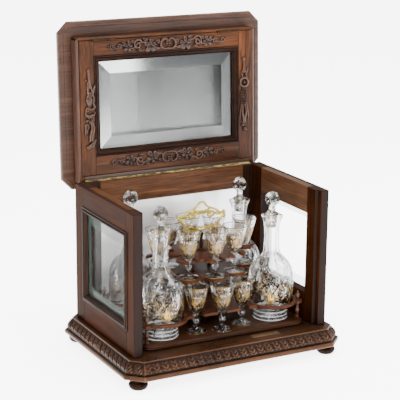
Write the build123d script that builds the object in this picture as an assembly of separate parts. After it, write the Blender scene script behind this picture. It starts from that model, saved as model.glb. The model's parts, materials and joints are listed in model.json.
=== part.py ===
from build123d import *
import os
from math import atan2, cos, degrees, hypot, radians, sin, sqrt

# Antique tantalus: a glazed walnut case with a hinged lid. The glazed front door hangs on the lid's front edge
# and folds up into a recess in the lid. Inside stands a lift-out tray with decanters and goblets.
# All sizes are in millimetres. +Z is up, +X is to the right of someone facing the door, +Y points to the back.
# The origin is on the surface that the feet stand on, below the middle of the open cabinet.

# Case
CASE_W = 340.0
CASE_D = 216.0
CASE_H = 222.7
WALL_T = 19.5
BACK_T = 12.0
LIP_T = 14.0
WINDOW_SIDE = 33.0
WINDOW_LOW = 47.0
WINDOW_HIGH = 42.7
PANE_SEAT = 7.0
PANE_T = 3.0
BEAD_FLANGE = 4.0
BEAD_PROUD = 3.0
MIRROR_T = 3.0
BACK_STILE = 32.0
BACK_RAIL_LOW = 30.0
BACK_RAIL_HIGH = 38.0

# Base and feet
FOOT_H = 17.0
FOOT_R = 15.0
FOOT_INSET = 24.0
BASE_H = 28.0
BASE_OVER_FRONT = 33.0
BASE_OVER_SIDE = 21.0
BASE_OVER_BACK = 27.0
BASE_CLIP = 24.0
BOARD_MARGIN = 34.0
BOARD_T = 10.0

# Lid
LID_OVER_SIDE = 12.0
LID_OVER_FRONT = 34.0
LID_OVER_BACK = 16.5
LID_CLIP = 17.0
LID_BOARD_T = 10.0
LID_RAISE = 6.0
LID_STEP = 14.0
FRIEZE_H = 20.0
FRIEZE_EDGE = 4.5
FRIEZE_BACK = 4.0
LID_LEAN = 2.33
LID_GAP = 0.3

# Door
DOOR_T = 13.0
DOOR_PROUD = 5.0
DOOR_FLOOR_GAP = 7.0
DOOR_STILE = 25.0
DOOR_RAIL_HIGH = 25.0
DOOR_RAIL_LOW = 30.0
DOOR_BEAD_W = 10.0
DOOR_BEAD_PROUD = 1.5
DOOR_GLASS_T = 4.0
DOOR_GLASS_SET = 5.0
GARLAND_PROUD = 4.5
PENDANT_LENGTH = 128.0
PENDANT_W = 13.0
PENDANT_INSET = 12.0
SWAG_LENGTH = 200.0
SWAG_W = 14.0

# Hinges
KNUCKLE_R = 2.5
PIN_R = 1.1
LEAF_T = 1.2
BACK_LEAF_W = 4.5
HINGE_KNUCKLES = 19
DOOR_KNUCKLE_R = 2.0
DOOR_LEAF_W = 11.0
DOOR_HINGE_LENGTH = 42.0
DOOR_HINGE_X = 112.0
CATCH_W = 8.0
CATCH_SET = 2.5
CATCH_LENGTH = 24.0
STRIKE_LENGTH = 48.0
STRIKE_W = 12.0
STRIKE_X = 36.0
STRIKE_SLOT_L = 10.0
STRIKE_SLOT_W = 2.4

# Tray
TRAY_T = 8.0
TRAY_CORNER = 14.0
PLATE_T = 4.5
TIER_GAP = 26.0
RING_WALL = 5.5
RING_INSET = 17.5
LUG_R = 7.0
NOTCH_R = 8.0
POST_R = 4.2
COLUMN_R = 3.6
COLUMN_X = 20.0
COLUMN_Y = 10.0
STEM_R = 2.8
HANDLE_HALF = 43.0
HANDLE_T = 4.0
HANDLE_BAR = 3.4
HANDLE_RISE = 30.0
HANDLE_H = 50.0

# Decanters and goblets
DECANTER_R = 36.0
DECANTER_BASE_R = 31.5
DECANTER_H = 170.0
DECANTER_SIDE_INSET = 8.0
DECANTER_FRONT_INSET = 2.5
SHOULDER_Z = 68.0
NECK_Z = 104.0
NECK_R = 12.5
DECANTER_LIP_R = 17.0
DECANTER_WALL = 3.2
STOPPER_R = 11.8
STOPPER_RISE = 25.5
SHANK_L = 20.0
SHANK_R = 8.3
GOBLET_H = 75.0
GOBLET_R = 20.0
GOBLET_FOOT_R = 16.5
GOBLET_STEM_R = 3.0
GOBLET_BOWL_Z = 28.0
GOBLET_WALL = 1.6
LOW_ROW_INSET = 29.5
LOW_MID_INSET = 19.5
HIGH_ROW_INSET = 56.5
HIGH_MID_INSET = 44.5
HIGH_END_INSET = 65.0

# Clearances
SEAT_GAP = 0.1
TRAY_SIDE_GAP = 7.5
TRAY_END_GAP = 6.1
GOBLET_GAP = 1.0
DOOR_CLEAR = 0.4
DOOR_EDGE_GAP = 0.2
REBATE_CLEAR = 0.8
KNUCKLE_CLEAR = 0.3
PIN_CLEAR = 0.05
GLASS_CLEAR = 0.5
SHANK_CLEAR = 0.3
RING_CLEAR = 1.2
SHELF_CLEAR = 1.0

# Levels and planes worked out from the sizes above
BASE_TOP = FOOT_H + BASE_H
CASE_TOP = BASE_TOP + CASE_H
AXIS_Z = CASE_TOP + LID_GAP
AXIS_BACK = CASE_D + KNUCKLE_R + KNUCKLE_CLEAR
LID_REACH = AXIS_BACK + LID_OVER_FRONT
LID_T = FRIEZE_H + LID_BOARD_T + LID_RAISE
LEAN = radians(LID_LEAN)
LID_BACK = AXIS_BACK + (LID_REACH - LID_STEP) * sin(LEAN) + LID_T * cos(LEAN)
CASE_FRONT = (BASE_OVER_FRONT - LID_BACK) / 2
CASE_BACK = CASE_FRONT + CASE_D
AXIS_Y = CASE_FRONT + AXIS_BACK
HALF_W = CASE_W / 2
DOOR_HALF = HALF_W - LIP_T - DOOR_CLEAR
DOOR_TOP_Y = CASE_FRONT - DOOR_PROUD
DOOR_H = AXIS_Z - DOOR_EDGE_GAP - BASE_TOP - DOOR_FLOOR_GAP
REBATE_D = DOOR_T - DOOR_PROUD + REBATE_CLEAR
DOOR_Y0 = DOOR_TOP_Y + DOOR_EDGE_GAP
DOOR_Y1 = DOOR_Y0 + DOOR_H
DOOR_MID_Y = (DOOR_Y0 + DOOR_Y1) / 2
LID_LEAF_W = CASE_BACK - DOOR_Y1 - 2 * DOOR_CLEAR
TRAY_Y = (CASE_FRONT + REBATE_D + CASE_BACK - BACK_T) / 2
TRAY_L = CASE_W - 2 * (WALL_T + TRAY_SIDE_GAP)
TRAY_W = CASE_D - REBATE_D - BACK_T - 2 * TRAY_END_GAP
RING_REACH = TRAY_W / 2 - RING_INSET
DECANTER_X = TRAY_L / 2 - DECANTER_R - DECANTER_SIDE_INSET
DECANTER_Y = TRAY_W / 2 - DECANTER_R - DECANTER_FRONT_INSET
ROW_X = 2 * GOBLET_R + GOBLET_GAP
LOW_ROW_Y = TRAY_W / 2 - LOW_ROW_INSET
LOW_MID_Y = TRAY_W / 2 - LOW_MID_INSET
HIGH_ROW_Y = TRAY_W / 2 - HIGH_ROW_INSET
HIGH_MID_Y = TRAY_W / 2 - HIGH_MID_INSET
HIGH_END_X = TRAY_L / 2 - HIGH_END_INSET
TRAY_TOP = BASE_TOP + TRAY_T
RING_PLATE_Z = TRAY_TOP + TIER_GAP
SHELF_Z = TRAY_TOP + GOBLET_H + SHELF_CLEAR
SHELF_TOP = SHELF_Z + PLATE_T
TOP_PLATE_Z = SHELF_TOP + TIER_GAP
TOP_PLATE_TOP = TOP_PLATE_Z + PLATE_T
HANDLE_Z = TOP_PLATE_TOP + HANDLE_RISE
LID_AXIS = Axis((0, AXIS_Y, AXIS_Z), (1, 0, 0))
OPEN_ANGLE = 90 + LID_LEAN

LOW_GOBLETS = {
    "left": (-ROW_X, LOW_ROW_Y),
    "middle": (0, LOW_MID_Y),
    "right": (ROW_X, LOW_ROW_Y),
}
HIGH_GOBLETS = {
    "left": (-ROW_X, HIGH_ROW_Y),
    "middle": (0, HIGH_MID_Y),
    "right": (ROW_X, HIGH_ROW_Y),
}


def block(x, y, z):
    """A box between pairs of limits."""
    size = Box(x[1] - x[0], y[1] - y[0], z[1] - z[0])
    return Pos((x[0] + x[1]) / 2, (y[0] + y[1]) / 2, (z[0] + z[1]) / 2) * size


def clipped(half_w, y, clip, z):
    """A rectangle with its four corners cut off, as a face at height z."""
    y0, y1 = y
    points = [
        (-half_w, y0 + clip, z), (-half_w + clip, y0, z), (half_w - clip, y0, z), (half_w, y0 + clip, z),
        (half_w, y1 - clip, z), (half_w - clip, y1, z), (-half_w + clip, y1, z), (-half_w, y1 - clip, z),
    ]
    return make_face(Polyline(*points, close=True))


def flared(half_w, y, clip, levels):
    """A moulding built up from (height, inset) levels on a clipped rectangle."""
    solid = None
    for (z0, inset0), (z1, inset1) in zip(levels, levels[1:]):
        if z1 <= z0:
            continue
        faces = []
        for z, inset in ((z0, inset0), (z1, inset1)):
            limits = (y[0] + inset, y[1] - inset)
            faces.append(clipped(half_w - inset, limits, clip - inset * 0.586, z))
        layer = loft(faces)
        solid = layer if solid is None else solid + layer
    return solid


def turned(points, at=(0, 0, 0)):
    """A solid of revolution about a vertical axis, from (radius, height) points and arcs."""
    edges = []
    start = points[0]
    for point in points[1:]:
        if len(point) == 3:
            _, middle, end = point
            edges.append(ThreePointArc((start[0], 0, start[1]), (middle[0], 0, middle[1]), (end[0], 0, end[1])))
            start = end
        else:
            edges.append(Line((start[0], 0, start[1]), (point[0], 0, point[1])))
            start = point
    first = points[0]
    edges.append(Line((start[0], 0, start[1]), (first[0], 0, first[1])))
    return Pos(*at) * revolve(make_face(edges), Axis.Z)


def both_sides(shape):
    """A shape and its mirror image across the middle of the case."""
    return [shape, mirror(shape, Plane.YZ)]


def opened(shape):
    """A piece of the closed lid, swung to where the open lid stands."""
    return shape.rotate(LID_AXIS, -OPEN_ANGLE)


# Case and base

def base_moulding():
    y = (CASE_FRONT - BASE_OVER_FRONT, CASE_BACK + BASE_OVER_BACK)
    ledge = BASE_OVER_FRONT - 19.5
    levels = [
        (FOOT_H, 1.0), (FOOT_H + 4, 0), (FOOT_H + 8, 0.6), (FOOT_H + 11, 5.0),
        (FOOT_H + 15, 3.5), (FOOT_H + 22, 6.5), (BASE_TOP, ledge),
    ]
    body = flared(HALF_W + BASE_OVER_SIDE, y, BASE_CLIP, levels)
    x = HALF_W - BOARD_MARGIN
    well = (CASE_FRONT + BOARD_MARGIN, CASE_BACK - BOARD_MARGIN)
    strike = block((STRIKE_X, STRIKE_X + STRIKE_LENGTH), strike_limits(), (BASE_TOP - LEAF_T, BASE_TOP))
    return body - block((-x, x), well, (FOOT_H, BASE_TOP)) - strike


def base_board():
    x = HALF_W - BOARD_MARGIN
    return block((-x, x), (CASE_FRONT + BOARD_MARGIN, CASE_BACK - BOARD_MARGIN), (BASE_TOP - BOARD_T, BASE_TOP))


def bun_feet():
    neck = FOOT_R * 0.62
    foot = turned([
        (0, 0), (FOOT_R * 0.6, 0), ("arc", (FOOT_R, FOOT_H * 0.42), (neck, FOOT_H - 2)), (neck, FOOT_H), (0, FOOT_H),
    ])
    x = HALF_W + BASE_OVER_SIDE - FOOT_INSET
    front = CASE_FRONT - BASE_OVER_FRONT + FOOT_INSET
    back = CASE_BACK + BASE_OVER_BACK - FOOT_INSET
    return [Pos(side * x, y, 0) * foot for side in (-1, 1) for y in (front, back)]


def strike_limits():
    front = CASE_FRONT - DOOR_PROUD + 1.0
    return (front, front + STRIKE_W)


def strike_plate():
    y = strike_limits()
    plate = block((STRIKE_X, STRIKE_X + STRIKE_LENGTH), y, (BASE_TOP - LEAF_T, BASE_TOP))
    slot_x = STRIKE_X + STRIKE_LENGTH / 2
    slot_y = (y[0] + y[1]) / 2
    slot = block(
        (slot_x - STRIKE_SLOT_L / 2, slot_x + STRIKE_SLOT_L / 2),
        (slot_y - STRIKE_SLOT_W / 2, slot_y + STRIKE_SLOT_W / 2),
        (BASE_TOP - LEAF_T, BASE_TOP),
    )
    return plate - slot


def window_ring(x, grow_out, grow_in):
    """A rectangular ring round the sight of the left window, grown by two amounts."""
    y = (CASE_FRONT + WINDOW_SIDE, CASE_BACK - WINDOW_SIDE - 6)
    z = (BASE_TOP + WINDOW_LOW, CASE_TOP - WINDOW_HIGH)
    outer = block(x, (y[0] - grow_out, y[1] + grow_out), (z[0] - grow_out, z[1] + grow_out))
    if grow_in is None:
        return outer
    return outer - block(x, (y[0] - grow_in, y[1] + grow_in), (z[0] - grow_in, z[1] + grow_in))


def side_left():
    x0 = -HALF_W
    x1 = x0 + WALL_T
    wall = block((x0, x1), (CASE_FRONT, CASE_BACK), (BASE_TOP, CASE_TOP))
    rebate = block((x0 + LIP_T, x1), (CASE_FRONT, CASE_FRONT + REBATE_D), (BASE_TOP, CASE_TOP))
    sight = window_ring((x0, x1), 0, None)
    seat = window_ring((x0, x0 + PANE_SEAT), PANE_SEAT, None)
    return wall - rebate - sight - seat


def side_glass_left():
    x0 = -HALF_W + PANE_SEAT - PANE_T
    pane = window_ring((x0, x0 + PANE_T), PANE_SEAT - GLASS_CLEAR, None)
    return pane


def side_bead_left():
    x0 = -HALF_W
    inner = window_ring((x0, x0 + PANE_SEAT - PANE_T), PANE_SEAT, 0)
    flange = window_ring((x0 - BEAD_PROUD, x0), PANE_SEAT + BEAD_FLANGE, 0)
    return inner + flange


def back_pocket(grow):
    x = HALF_W - WALL_T - BACK_STILE + 12 + grow
    z = (BASE_TOP + BACK_RAIL_LOW - 12 - grow, CASE_TOP - BACK_RAIL_HIGH + grow)
    y = CASE_BACK - BACK_T
    return block((-x, x), (y, y + MIRROR_T), z)


def back_frame():
    x = HALF_W - WALL_T
    board = block((-x, x), (CASE_BACK - BACK_T, CASE_BACK), (BASE_TOP, CASE_TOP))
    leaf = block((-x, x), (CASE_BACK - BACK_LEAF_W, CASE_BACK), (CASE_TOP - LEAF_T, CASE_TOP))
    return board - back_pocket(0) - leaf


def back_mirror():
    return back_pocket(-0.3)


def knuckle_limits(length, count, centre=0.0):
    """The end positions of each knuckle along a hinge."""
    step = length / count
    start = centre - length / 2
    return [(start + step * i + 0.15, start + step * (i + 1) - 0.15) for i in range(count)]


def barrel(x, y, z, radius, bore):
    """One hinge knuckle along X, bored for its pin."""
    middle = Pos((x[0] + x[1]) / 2, y, z) * Rot(0, 90, 0)
    return middle * Cylinder(radius, x[1] - x[0]), middle * Cylinder(bore, x[1] - x[0])


def lid_leaf(width, plate_z, parity):
    """A leaf of the long lid hinge, with every second knuckle."""
    length = CASE_W - 2 * WALL_T
    leaf = block((-length / 2, length / 2), (CASE_BACK - width, CASE_BACK), plate_z)
    for i, x in enumerate(knuckle_limits(length, HINGE_KNUCKLES)):
        if i % 2 == parity:
            solid, bore = barrel(x, AXIS_Y, AXIS_Z, KNUCKLE_R, PIN_R + PIN_CLEAR)
            tab = block(x, (CASE_BACK - 1, AXIS_Y), plate_z)
            leaf = (leaf + solid + tab) - bore
    return leaf


def back_hinge_leaf():
    return lid_leaf(BACK_LEAF_W, (CASE_TOP - LEAF_T, CASE_TOP), 0)


# Lid

def recess(z):
    x = DOOR_HALF + DOOR_CLEAR
    return block((-x, x), (DOOR_TOP_Y - DOOR_EDGE_GAP, DOOR_Y1 + DOOR_CLEAR), z)


def door_hinge_places():
    return (-DOOR_HINGE_X, DOOR_HINGE_X)


def knuckle_groove(x, y, z, radius):
    return barrel(x, y, z, radius + KNUCKLE_CLEAR, radius)[0]


def lid_frieze():
    x = DOOR_HALF + DOOR_CLEAR + FRIEZE_EDGE
    y = (DOOR_TOP_Y - DOOR_EDGE_GAP - FRIEZE_EDGE, AXIS_Y + FRIEZE_BACK)
    frieze = block((-x, x), y, (AXIS_Z, AXIS_Z + FRIEZE_H))
    frieze -= recess((AXIS_Z, AXIS_Z + FRIEZE_H))
    half = HALF_W - WALL_T
    frieze -= knuckle_groove((-half - 0.5, half + 0.5), AXIS_Y, AXIS_Z, KNUCKLE_R)
    frieze -= block((-half, half), (CASE_BACK - LID_LEAF_W, AXIS_Y), (AXIS_Z, AXIS_Z + LEAF_T))
    for x in door_hinge_places():
        span = (x - DOOR_HINGE_LENGTH / 2 - 0.5, x + DOOR_HINGE_LENGTH / 2 + 0.5)
        frieze -= knuckle_groove(span, DOOR_TOP_Y, AXIS_Z, DOOR_KNUCKLE_R)
        plate_y = (DOOR_TOP_Y - DOOR_EDGE_GAP - LEAF_T, DOOR_TOP_Y)
        frieze -= block(span, plate_y, (AXIS_Z, AXIS_Z + DOOR_LEAF_W + 0.3))
    return frieze - catch_seat(-1)


def lid_board():
    y = (CASE_FRONT - LID_OVER_FRONT, AXIS_Y + LID_OVER_BACK)
    z = AXIS_Z + FRIEZE_H
    shelf = z + LID_BOARD_T
    levels = [
        (z, 2.5), (z + 2.5, 0), (shelf - 2.5, 0), (shelf, LID_STEP * 0.35), (shelf + 1.0, LID_STEP * 0.65),
        (shelf + LID_RAISE - 1.5, LID_STEP * 0.75), (shelf + LID_RAISE, LID_STEP),
    ]
    return flared(HALF_W + LID_OVER_SIDE, y, LID_CLIP, levels) - mirror_block(0)


def mirror_block(grow):
    x = DOOR_HALF - 6 + grow
    z = AXIS_Z + FRIEZE_H
    return block((-x, x), (DOOR_Y0 + 6 - grow, DOOR_Y1 - 6 + grow), (z, z + MIRROR_T))


def lid_mirror():
    return mirror_block(-0.3)


def lid_hinge_leaf():
    return lid_leaf(LID_LEAF_W, (AXIS_Z, AXIS_Z + LEAF_T), 1)


def lid_hinge_pin():
    half = HALF_W - WALL_T
    return Pos(0, AXIS_Y, AXIS_Z) * Rot(0, 90, 0) * Cylinder(PIN_R, 2 * half)


def door_leaf(centre, side):
    """A leaf of a door hinge: side -1 is screwed to the lid, side 1 to the door's top edge."""
    half = DOOR_HINGE_LENGTH / 2
    near = DOOR_TOP_Y + side * DOOR_EDGE_GAP
    y = sorted((near, near + side * LEAF_T))
    clear = DOOR_KNUCKLE_R + KNUCKLE_CLEAR + 0.1
    leaf = block((centre - half, centre + half), y, (AXIS_Z + clear, AXIS_Z + DOOR_LEAF_W))
    for i, x in enumerate(knuckle_limits(DOOR_HINGE_LENGTH, 3, centre)):
        if (i == 1) == (side == 1):
            solid, bore = barrel(x, DOOR_TOP_Y, AXIS_Z, DOOR_KNUCKLE_R, PIN_R + PIN_CLEAR)
            leaf = (leaf + solid + block(x, y, (AXIS_Z + 1.2, AXIS_Z + clear + 0.1))) - bore
    return leaf


def door_hinge_lid_leaves():
    return [door_leaf(x, -1) for x in door_hinge_places()]


def catch_seat(side):
    """The shallow seat of the catch: side -1 is in the lid's recess, side 1 in the door's edge."""
    if side < 0:
        x1 = -(DOOR_HALF + DOOR_CLEAR)
    else:
        x1 = -DOOR_HALF + LEAF_T
    y = (DOOR_MID_Y - CATCH_LENGTH / 2, DOOR_MID_Y + CATCH_LENGTH / 2)
    return block((x1 - LEAF_T, x1), y, (AXIS_Z + CATCH_SET, AXIS_Z + CATCH_SET + CATCH_W))


def lid_catch():
    return catch_seat(-1)


# Door, as it lies folded in the closed lid

def door_ring(grow, z):
    """The door's sight opening, grown by an amount, between two heights."""
    x = DOOR_HALF - DOOR_STILE + grow
    return block((-x, x), (DOOR_Y0 + DOOR_RAIL_HIGH - grow, DOOR_Y1 - DOOR_RAIL_LOW + grow), z)


def door_frame():
    z = (AXIS_Z, AXIS_Z + DOOR_T)
    frame = block((-DOOR_HALF, DOOR_HALF), (DOOR_Y0, DOOR_Y1), z) - door_ring(0, z)
    for x in door_hinge_places():
        span = (x - DOOR_HINGE_LENGTH / 2 - 0.5, x + DOOR_HINGE_LENGTH / 2 + 0.5)
        frame -= knuckle_groove(span, DOOR_TOP_Y, AXIS_Z, DOOR_KNUCKLE_R)
        frame -= block(span, (DOOR_Y0, DOOR_Y0 + LEAF_T), (AXIS_Z, AXIS_Z + DOOR_LEAF_W + 0.3))
    return frame - catch_seat(1)


def door_bead():
    z = AXIS_Z + DOOR_GLASS_SET
    front = door_ring(0, (AXIS_Z - DOOR_BEAD_PROUD, z)) - door_ring(-DOOR_BEAD_W, (AXIS_Z - DOOR_BEAD_PROUD, z))
    rear = (z + DOOR_GLASS_T, AXIS_Z + DOOR_T)
    return front, door_ring(0, rear) - door_ring(-DOOR_BEAD_W, rear)


def door_glass():
    z = AXIS_Z + DOOR_GLASS_SET
    return door_ring(-GLASS_CLEAR, (z, z + DOOR_GLASS_T))


def carved(places, length, width, upright):
    """A carved spray on the door's face: a tapering strip with a raised boss at each place."""
    strip_half = width * 0.2
    if upright:
        spray = block((-strip_half, strip_half), (-length / 2, length / 2), (-1.5, 0))
    else:
        spray = block((-length / 2, length / 2), (-strip_half, strip_half), (-1.5, 0))
    for along, size in places:
        radius = size * width / 2
        x, y = (0, along * length / 2) if upright else (along * length / 2, 0)
        boss = Cone(radius * 0.55, radius, GARLAND_PROUD)
        spray += Pos(x, y, -GARLAND_PROUD / 2) * boss
    return spray


def swag(y):
    places = [(0, 1.0)]
    for side in (-1, 1):
        places += [(side * 0.2, 0.8), (side * 0.38, 0.65), (side * 0.56, 0.85), (side * 0.75, 0.7), (side * 0.92, 0.5)]
    return Pos(0, y, AXIS_Z) * carved(places, SWAG_LENGTH, SWAG_W, False)


def garland_top():
    return swag(DOOR_Y0 + DOOR_RAIL_HIGH / 2)


def garland_bottom():
    return swag(DOOR_Y1 - DOOR_RAIL_LOW / 2 - 1.5)


def garland_left():
    places = [(-0.9, 0.8), (-0.68, 0.55), (-0.4, 1.0), (-0.1, 0.8), (0.12, 0.95), (0.36, 0.7), (0.62, 0.9), (0.88, 0.6)]
    x = -DOOR_HALF + PENDANT_INSET
    return Pos(x, DOOR_MID_Y, AXIS_Z) * carved(places, PENDANT_LENGTH, PENDANT_W, True)


def door_hinge_leaves():
    return [door_leaf(x, 1) for x in door_hinge_places()]


def door_hinge_pins():
    pin = Rot(0, 90, 0) * Cylinder(PIN_R, DOOR_HINGE_LENGTH)
    return [Pos(x, DOOR_TOP_Y, AXIS_Z) * pin for x in door_hinge_places()]


def door_catch_plate():
    return catch_seat(1)


# Tray

def decanter_places():
    return {
        "front_left": (-DECANTER_X, -DECANTER_Y), "front_right": (DECANTER_X, -DECANTER_Y),
        "back_left": (-DECANTER_X, DECANTER_Y), "back_right": (DECANTER_X, DECANTER_Y),
    }


def disc(x, y, radius, z):
    return Pos(x, y + TRAY_Y, z + PLATE_T / 2) * Cylinder(radius, PLATE_T)


def plate_block(half_x, half_y, z):
    return block((-half_x, half_x), (TRAY_Y - half_y, TRAY_Y + half_y), (z, z + PLATE_T))


def notch(place, outward, reach, z):
    """A slot for a goblet's stem, open at the plate's edge."""
    x, y = place
    hole = disc(x, y, NOTCH_R, z)
    if outward[0] == 0:
        limits = sorted((y, outward[1] * reach))
        slot = block((x - NOTCH_R, x + NOTCH_R), (TRAY_Y + limits[0], TRAY_Y + limits[1]), (z, z + PLATE_T))
    else:
        limits = sorted((x, outward[0] * reach))
        slot = block(limits, (TRAY_Y + y - NOTCH_R, TRAY_Y + y + NOTCH_R), (z, z + PLATE_T))
    return hole + slot


def tray_base():
    board = extrude(RectangleRounded(TRAY_L, TRAY_W, TRAY_CORNER), TRAY_T - SEAT_GAP)
    return Pos(0, TRAY_Y, BASE_TOP + SEAT_GAP) * board


def post_places():
    reach = DECANTER_R + RING_CLEAR + RING_WALL + 1.0
    dx = reach * cos(radians(35))
    dy = reach * sin(radians(35))
    places = []
    for x, y in decanter_places().values():
        places.append((x + (dx if x > 0 else -dx), y + (dy if y > 0 else -dy)))
    return places


def ring_plate():
    z = RING_PLATE_Z
    plate = plate_block(DECANTER_X - DECANTER_R, RING_REACH, z)
    for x, y in decanter_places().values():
        plate += disc(x, y, DECANTER_R + RING_CLEAR + RING_WALL, z)
    for x, y in post_places():
        plate += disc(x, y, LUG_R, z)
    for x, y in decanter_places().values():
        plate -= disc(x, y, DECANTER_R + RING_CLEAR, z)
    for x, y in LOW_GOBLETS.values():
        for side in (-1, 1):
            plate -= notch((x, side * y), (0, side), RING_REACH + 1, z)
    return plate


def shelf_blank(z):
    blank = plate_block(ROW_X, HIGH_MID_Y, z) + plate_block(HIGH_END_X, GOBLET_FOOT_R * 0.7, z)
    places = [(x, side * y) for x, y in HIGH_GOBLETS.values() for side in (-1, 1)]
    places += [(-HIGH_END_X, 0), (HIGH_END_X, 0)]
    for x, y in places:
        blank += disc(x, y, GOBLET_FOOT_R + 2.0, z)
    return blank


def foot_shelf():
    return shelf_blank(SHELF_Z)


def top_plate():
    z = TOP_PLATE_Z
    plate = shelf_blank(z)
    reach = HIGH_END_X + GOBLET_FOOT_R + 3
    for x, y in HIGH_GOBLETS.values():
        for side in (-1, 1):
            plate -= notch((x, side * y), (0, side), reach, z)
    for side in (-1, 1):
        plate -= notch((side * HIGH_END_X, 0), (side, 0), reach, z)
    return plate


def spindle(radius, height):
    """A turned spindle with a swelling in the middle and a collar at each end."""
    return turned([
        (0, 0), (radius, 0), (radius, height * 0.12), (radius * 0.55, height * 0.22),
        ("arc", (radius * 0.95, height * 0.5), (radius * 0.55, height * 0.78)),
        (radius, height * 0.88), (radius, height), (0, height),
    ])


def corner_posts():
    post = spindle(POST_R, TIER_GAP)
    finial = turned([
        (0, 0), (POST_R, 0), (POST_R * 0.5, 3), ("arc", (POST_R, 7), (POST_R * 0.45, 11)), (0, 15),
    ])
    solids = []
    for x, y in post_places():
        solids.append(Pos(x, y + TRAY_Y, TRAY_TOP) * post)
        solids.append(Pos(x, y + TRAY_Y, RING_PLATE_Z + PLATE_T) * finial)
    return solids


def tray_columns():
    storeys = [
        (TRAY_TOP, TIER_GAP),
        (RING_PLATE_Z + PLATE_T, SHELF_Z - RING_PLATE_Z - PLATE_T),
        (SHELF_TOP, TIER_GAP),
    ]
    solids = []
    for z, height in storeys:
        column = spindle(COLUMN_R, height)
        for x in (-COLUMN_X, COLUMN_X):
            for y in (-COLUMN_Y, COLUMN_Y):
                solids.append(Pos(x, y + TRAY_Y, z) * column)
    return solids


def handle_stem():
    height = HANDLE_RISE
    return turned([
        (0, 0), (9, 0), (8, 2), (STEM_R, 5), (STEM_R, height - 6), (STEM_R * 1.7, height - 3), (STEM_R * 1.7, height),
        (0, height),
    ], (0, TRAY_Y, TOP_PLATE_TOP))


def bar(p, q, width=HANDLE_BAR):
    """A round-ended bar of the handle between two points in the handle's plane."""
    along = (q[0] - p[0], q[1] - p[1])
    turn = degrees(atan2(along[1], along[0]))
    middle = ((p[0] + q[0]) / 2, (p[1] + q[1]) / 2)
    flat = Pos(*middle) * Rot(0, 0, turn) * SlotCenterToCenter(hypot(*along), width)
    return extrude(flat, HANDLE_T / 2, both=True)


def handle():
    half = HANDLE_HALF - HANDLE_BAR / 2
    high = HANDLE_H - HANDLE_BAR / 2
    route = [
        (0, HANDLE_BAR / 2), (half * 0.3, 4), (half * 0.62, 6), (half * 0.78, 12), (half * 0.72, 22), (half, 30),
        (half * 0.7, 35), (half * 0.42, 39), (half * 0.22, high - 2), (0, high),
    ]
    inner = [(half * 0.72, 22), (half * 0.4, 28), (half * 0.22, 33), (0, 30)]
    casting = None
    for points in (route, inner):
        for p, q in zip(points, points[1:]):
            for side in (-1, 1):
                piece = bar((side * p[0], p[1]), (side * q[0], q[1]))
                casting = piece if casting is None else casting + piece
    casting += bar((0, 30), (0, 33), HANDLE_BAR)
    return Pos(0, TRAY_Y, HANDLE_Z) * Rot(90, 0, 0) * casting


# Decanters, stoppers and goblets

def decanter(place):
    bore = SHANK_R + SHANK_CLEAR
    inner_r = DECANTER_R - DECANTER_WALL
    top = DECANTER_H
    profile = [
        (0, 0), (DECANTER_BASE_R, 0), (DECANTER_BASE_R + 1, 2), (DECANTER_R - 1.5, 26), (DECANTER_R, 50),
        (DECANTER_R, SHOULDER_Z),
        ("arc", (DECANTER_R - 5.2, SHOULDER_Z + 19), (NECK_R + 2, NECK_Z)),
        (NECK_R, NECK_Z + 10), (NECK_R, top - 14), (DECANTER_LIP_R, top - 4), (DECANTER_LIP_R, top),
        (bore, top), (bore, NECK_Z + 2),
        ("arc", (inner_r - 5.2, SHOULDER_Z + 17), (inner_r, SHOULDER_Z - 2)),
        (DECANTER_BASE_R - 2, 14), (DECANTER_BASE_R - 6, 10), (0, 12),
    ]
    x, y = place
    return turned(profile, (x, y + TRAY_Y, TRAY_TOP + SEAT_GAP))


def stopper(place):
    z = DECANTER_H + SHANK_CLEAR
    ball = STOPPER_RISE
    neck = SHANK_R - 2.8
    profile = [
        (0, -SHANK_L), (SHANK_R - 1.2, -SHANK_L), (SHANK_R, 0), (SHANK_R + 2.5, 0), (SHANK_R + 1.5, 3),
        (neck - 0.5, 8), (neck, ball - sqrt(STOPPER_R ** 2 - neck ** 2)),
        ("arc", (STOPPER_R, ball), (0, ball + STOPPER_R)),
    ]
    x, y = place
    return turned(profile, (x, y + TRAY_Y, TRAY_TOP + SEAT_GAP + z))


def goblet(place, level):
    bowl = GOBLET_BOWL_Z
    stem = GOBLET_STEM_R
    rim = GOBLET_R
    wall = GOBLET_WALL
    high = GOBLET_H - SEAT_GAP
    profile = [
        (0, 0), (GOBLET_FOOT_R, 0), (GOBLET_FOOT_R, 1.2), (stem + 2, 4.5), (stem, 10), (stem, 14),
        ("arc", (stem + 2.2, 18), (stem, 22)), (stem, bowl - 3), (stem + 1.5, bowl),
        ("arc", (rim * 0.7, bowl + 10), (rim * 0.84, bowl + 22)), (rim * 0.88, high - 12), (rim, high),
        (rim - wall, high), (rim * 0.88 - wall, high - 12), (rim * 0.84 - wall, bowl + 22),
        ("arc", (rim * 0.58, bowl + 10.5), (rim * 0.1, bowl + 4)), (0, bowl + 4),
    ]
    x, y = place
    return turned(profile, (x, y + TRAY_Y, level + SEAT_GAP))


def goblets():
    """Every goblet by name, with its place on the tray and the level it stands on."""
    pieces = {}
    for row, side in (("front", -1), ("back", 1)):
        for name, (x, y) in LOW_GOBLETS.items():
            pieces[f"goblet_low_{row}_{name}"] = ((x, side * y), TRAY_TOP)
        for name, (x, y) in HIGH_GOBLETS.items():
            pieces[f"goblet_high_{row}_{name}"] = ((x, side * y), SHELF_TOP)
    pieces["goblet_high_end_left"] = ((-HIGH_END_X, 0), SHELF_TOP)
    pieces["goblet_high_end_right"] = ((HIGH_END_X, 0), SHELF_TOP)
    return pieces


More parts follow.
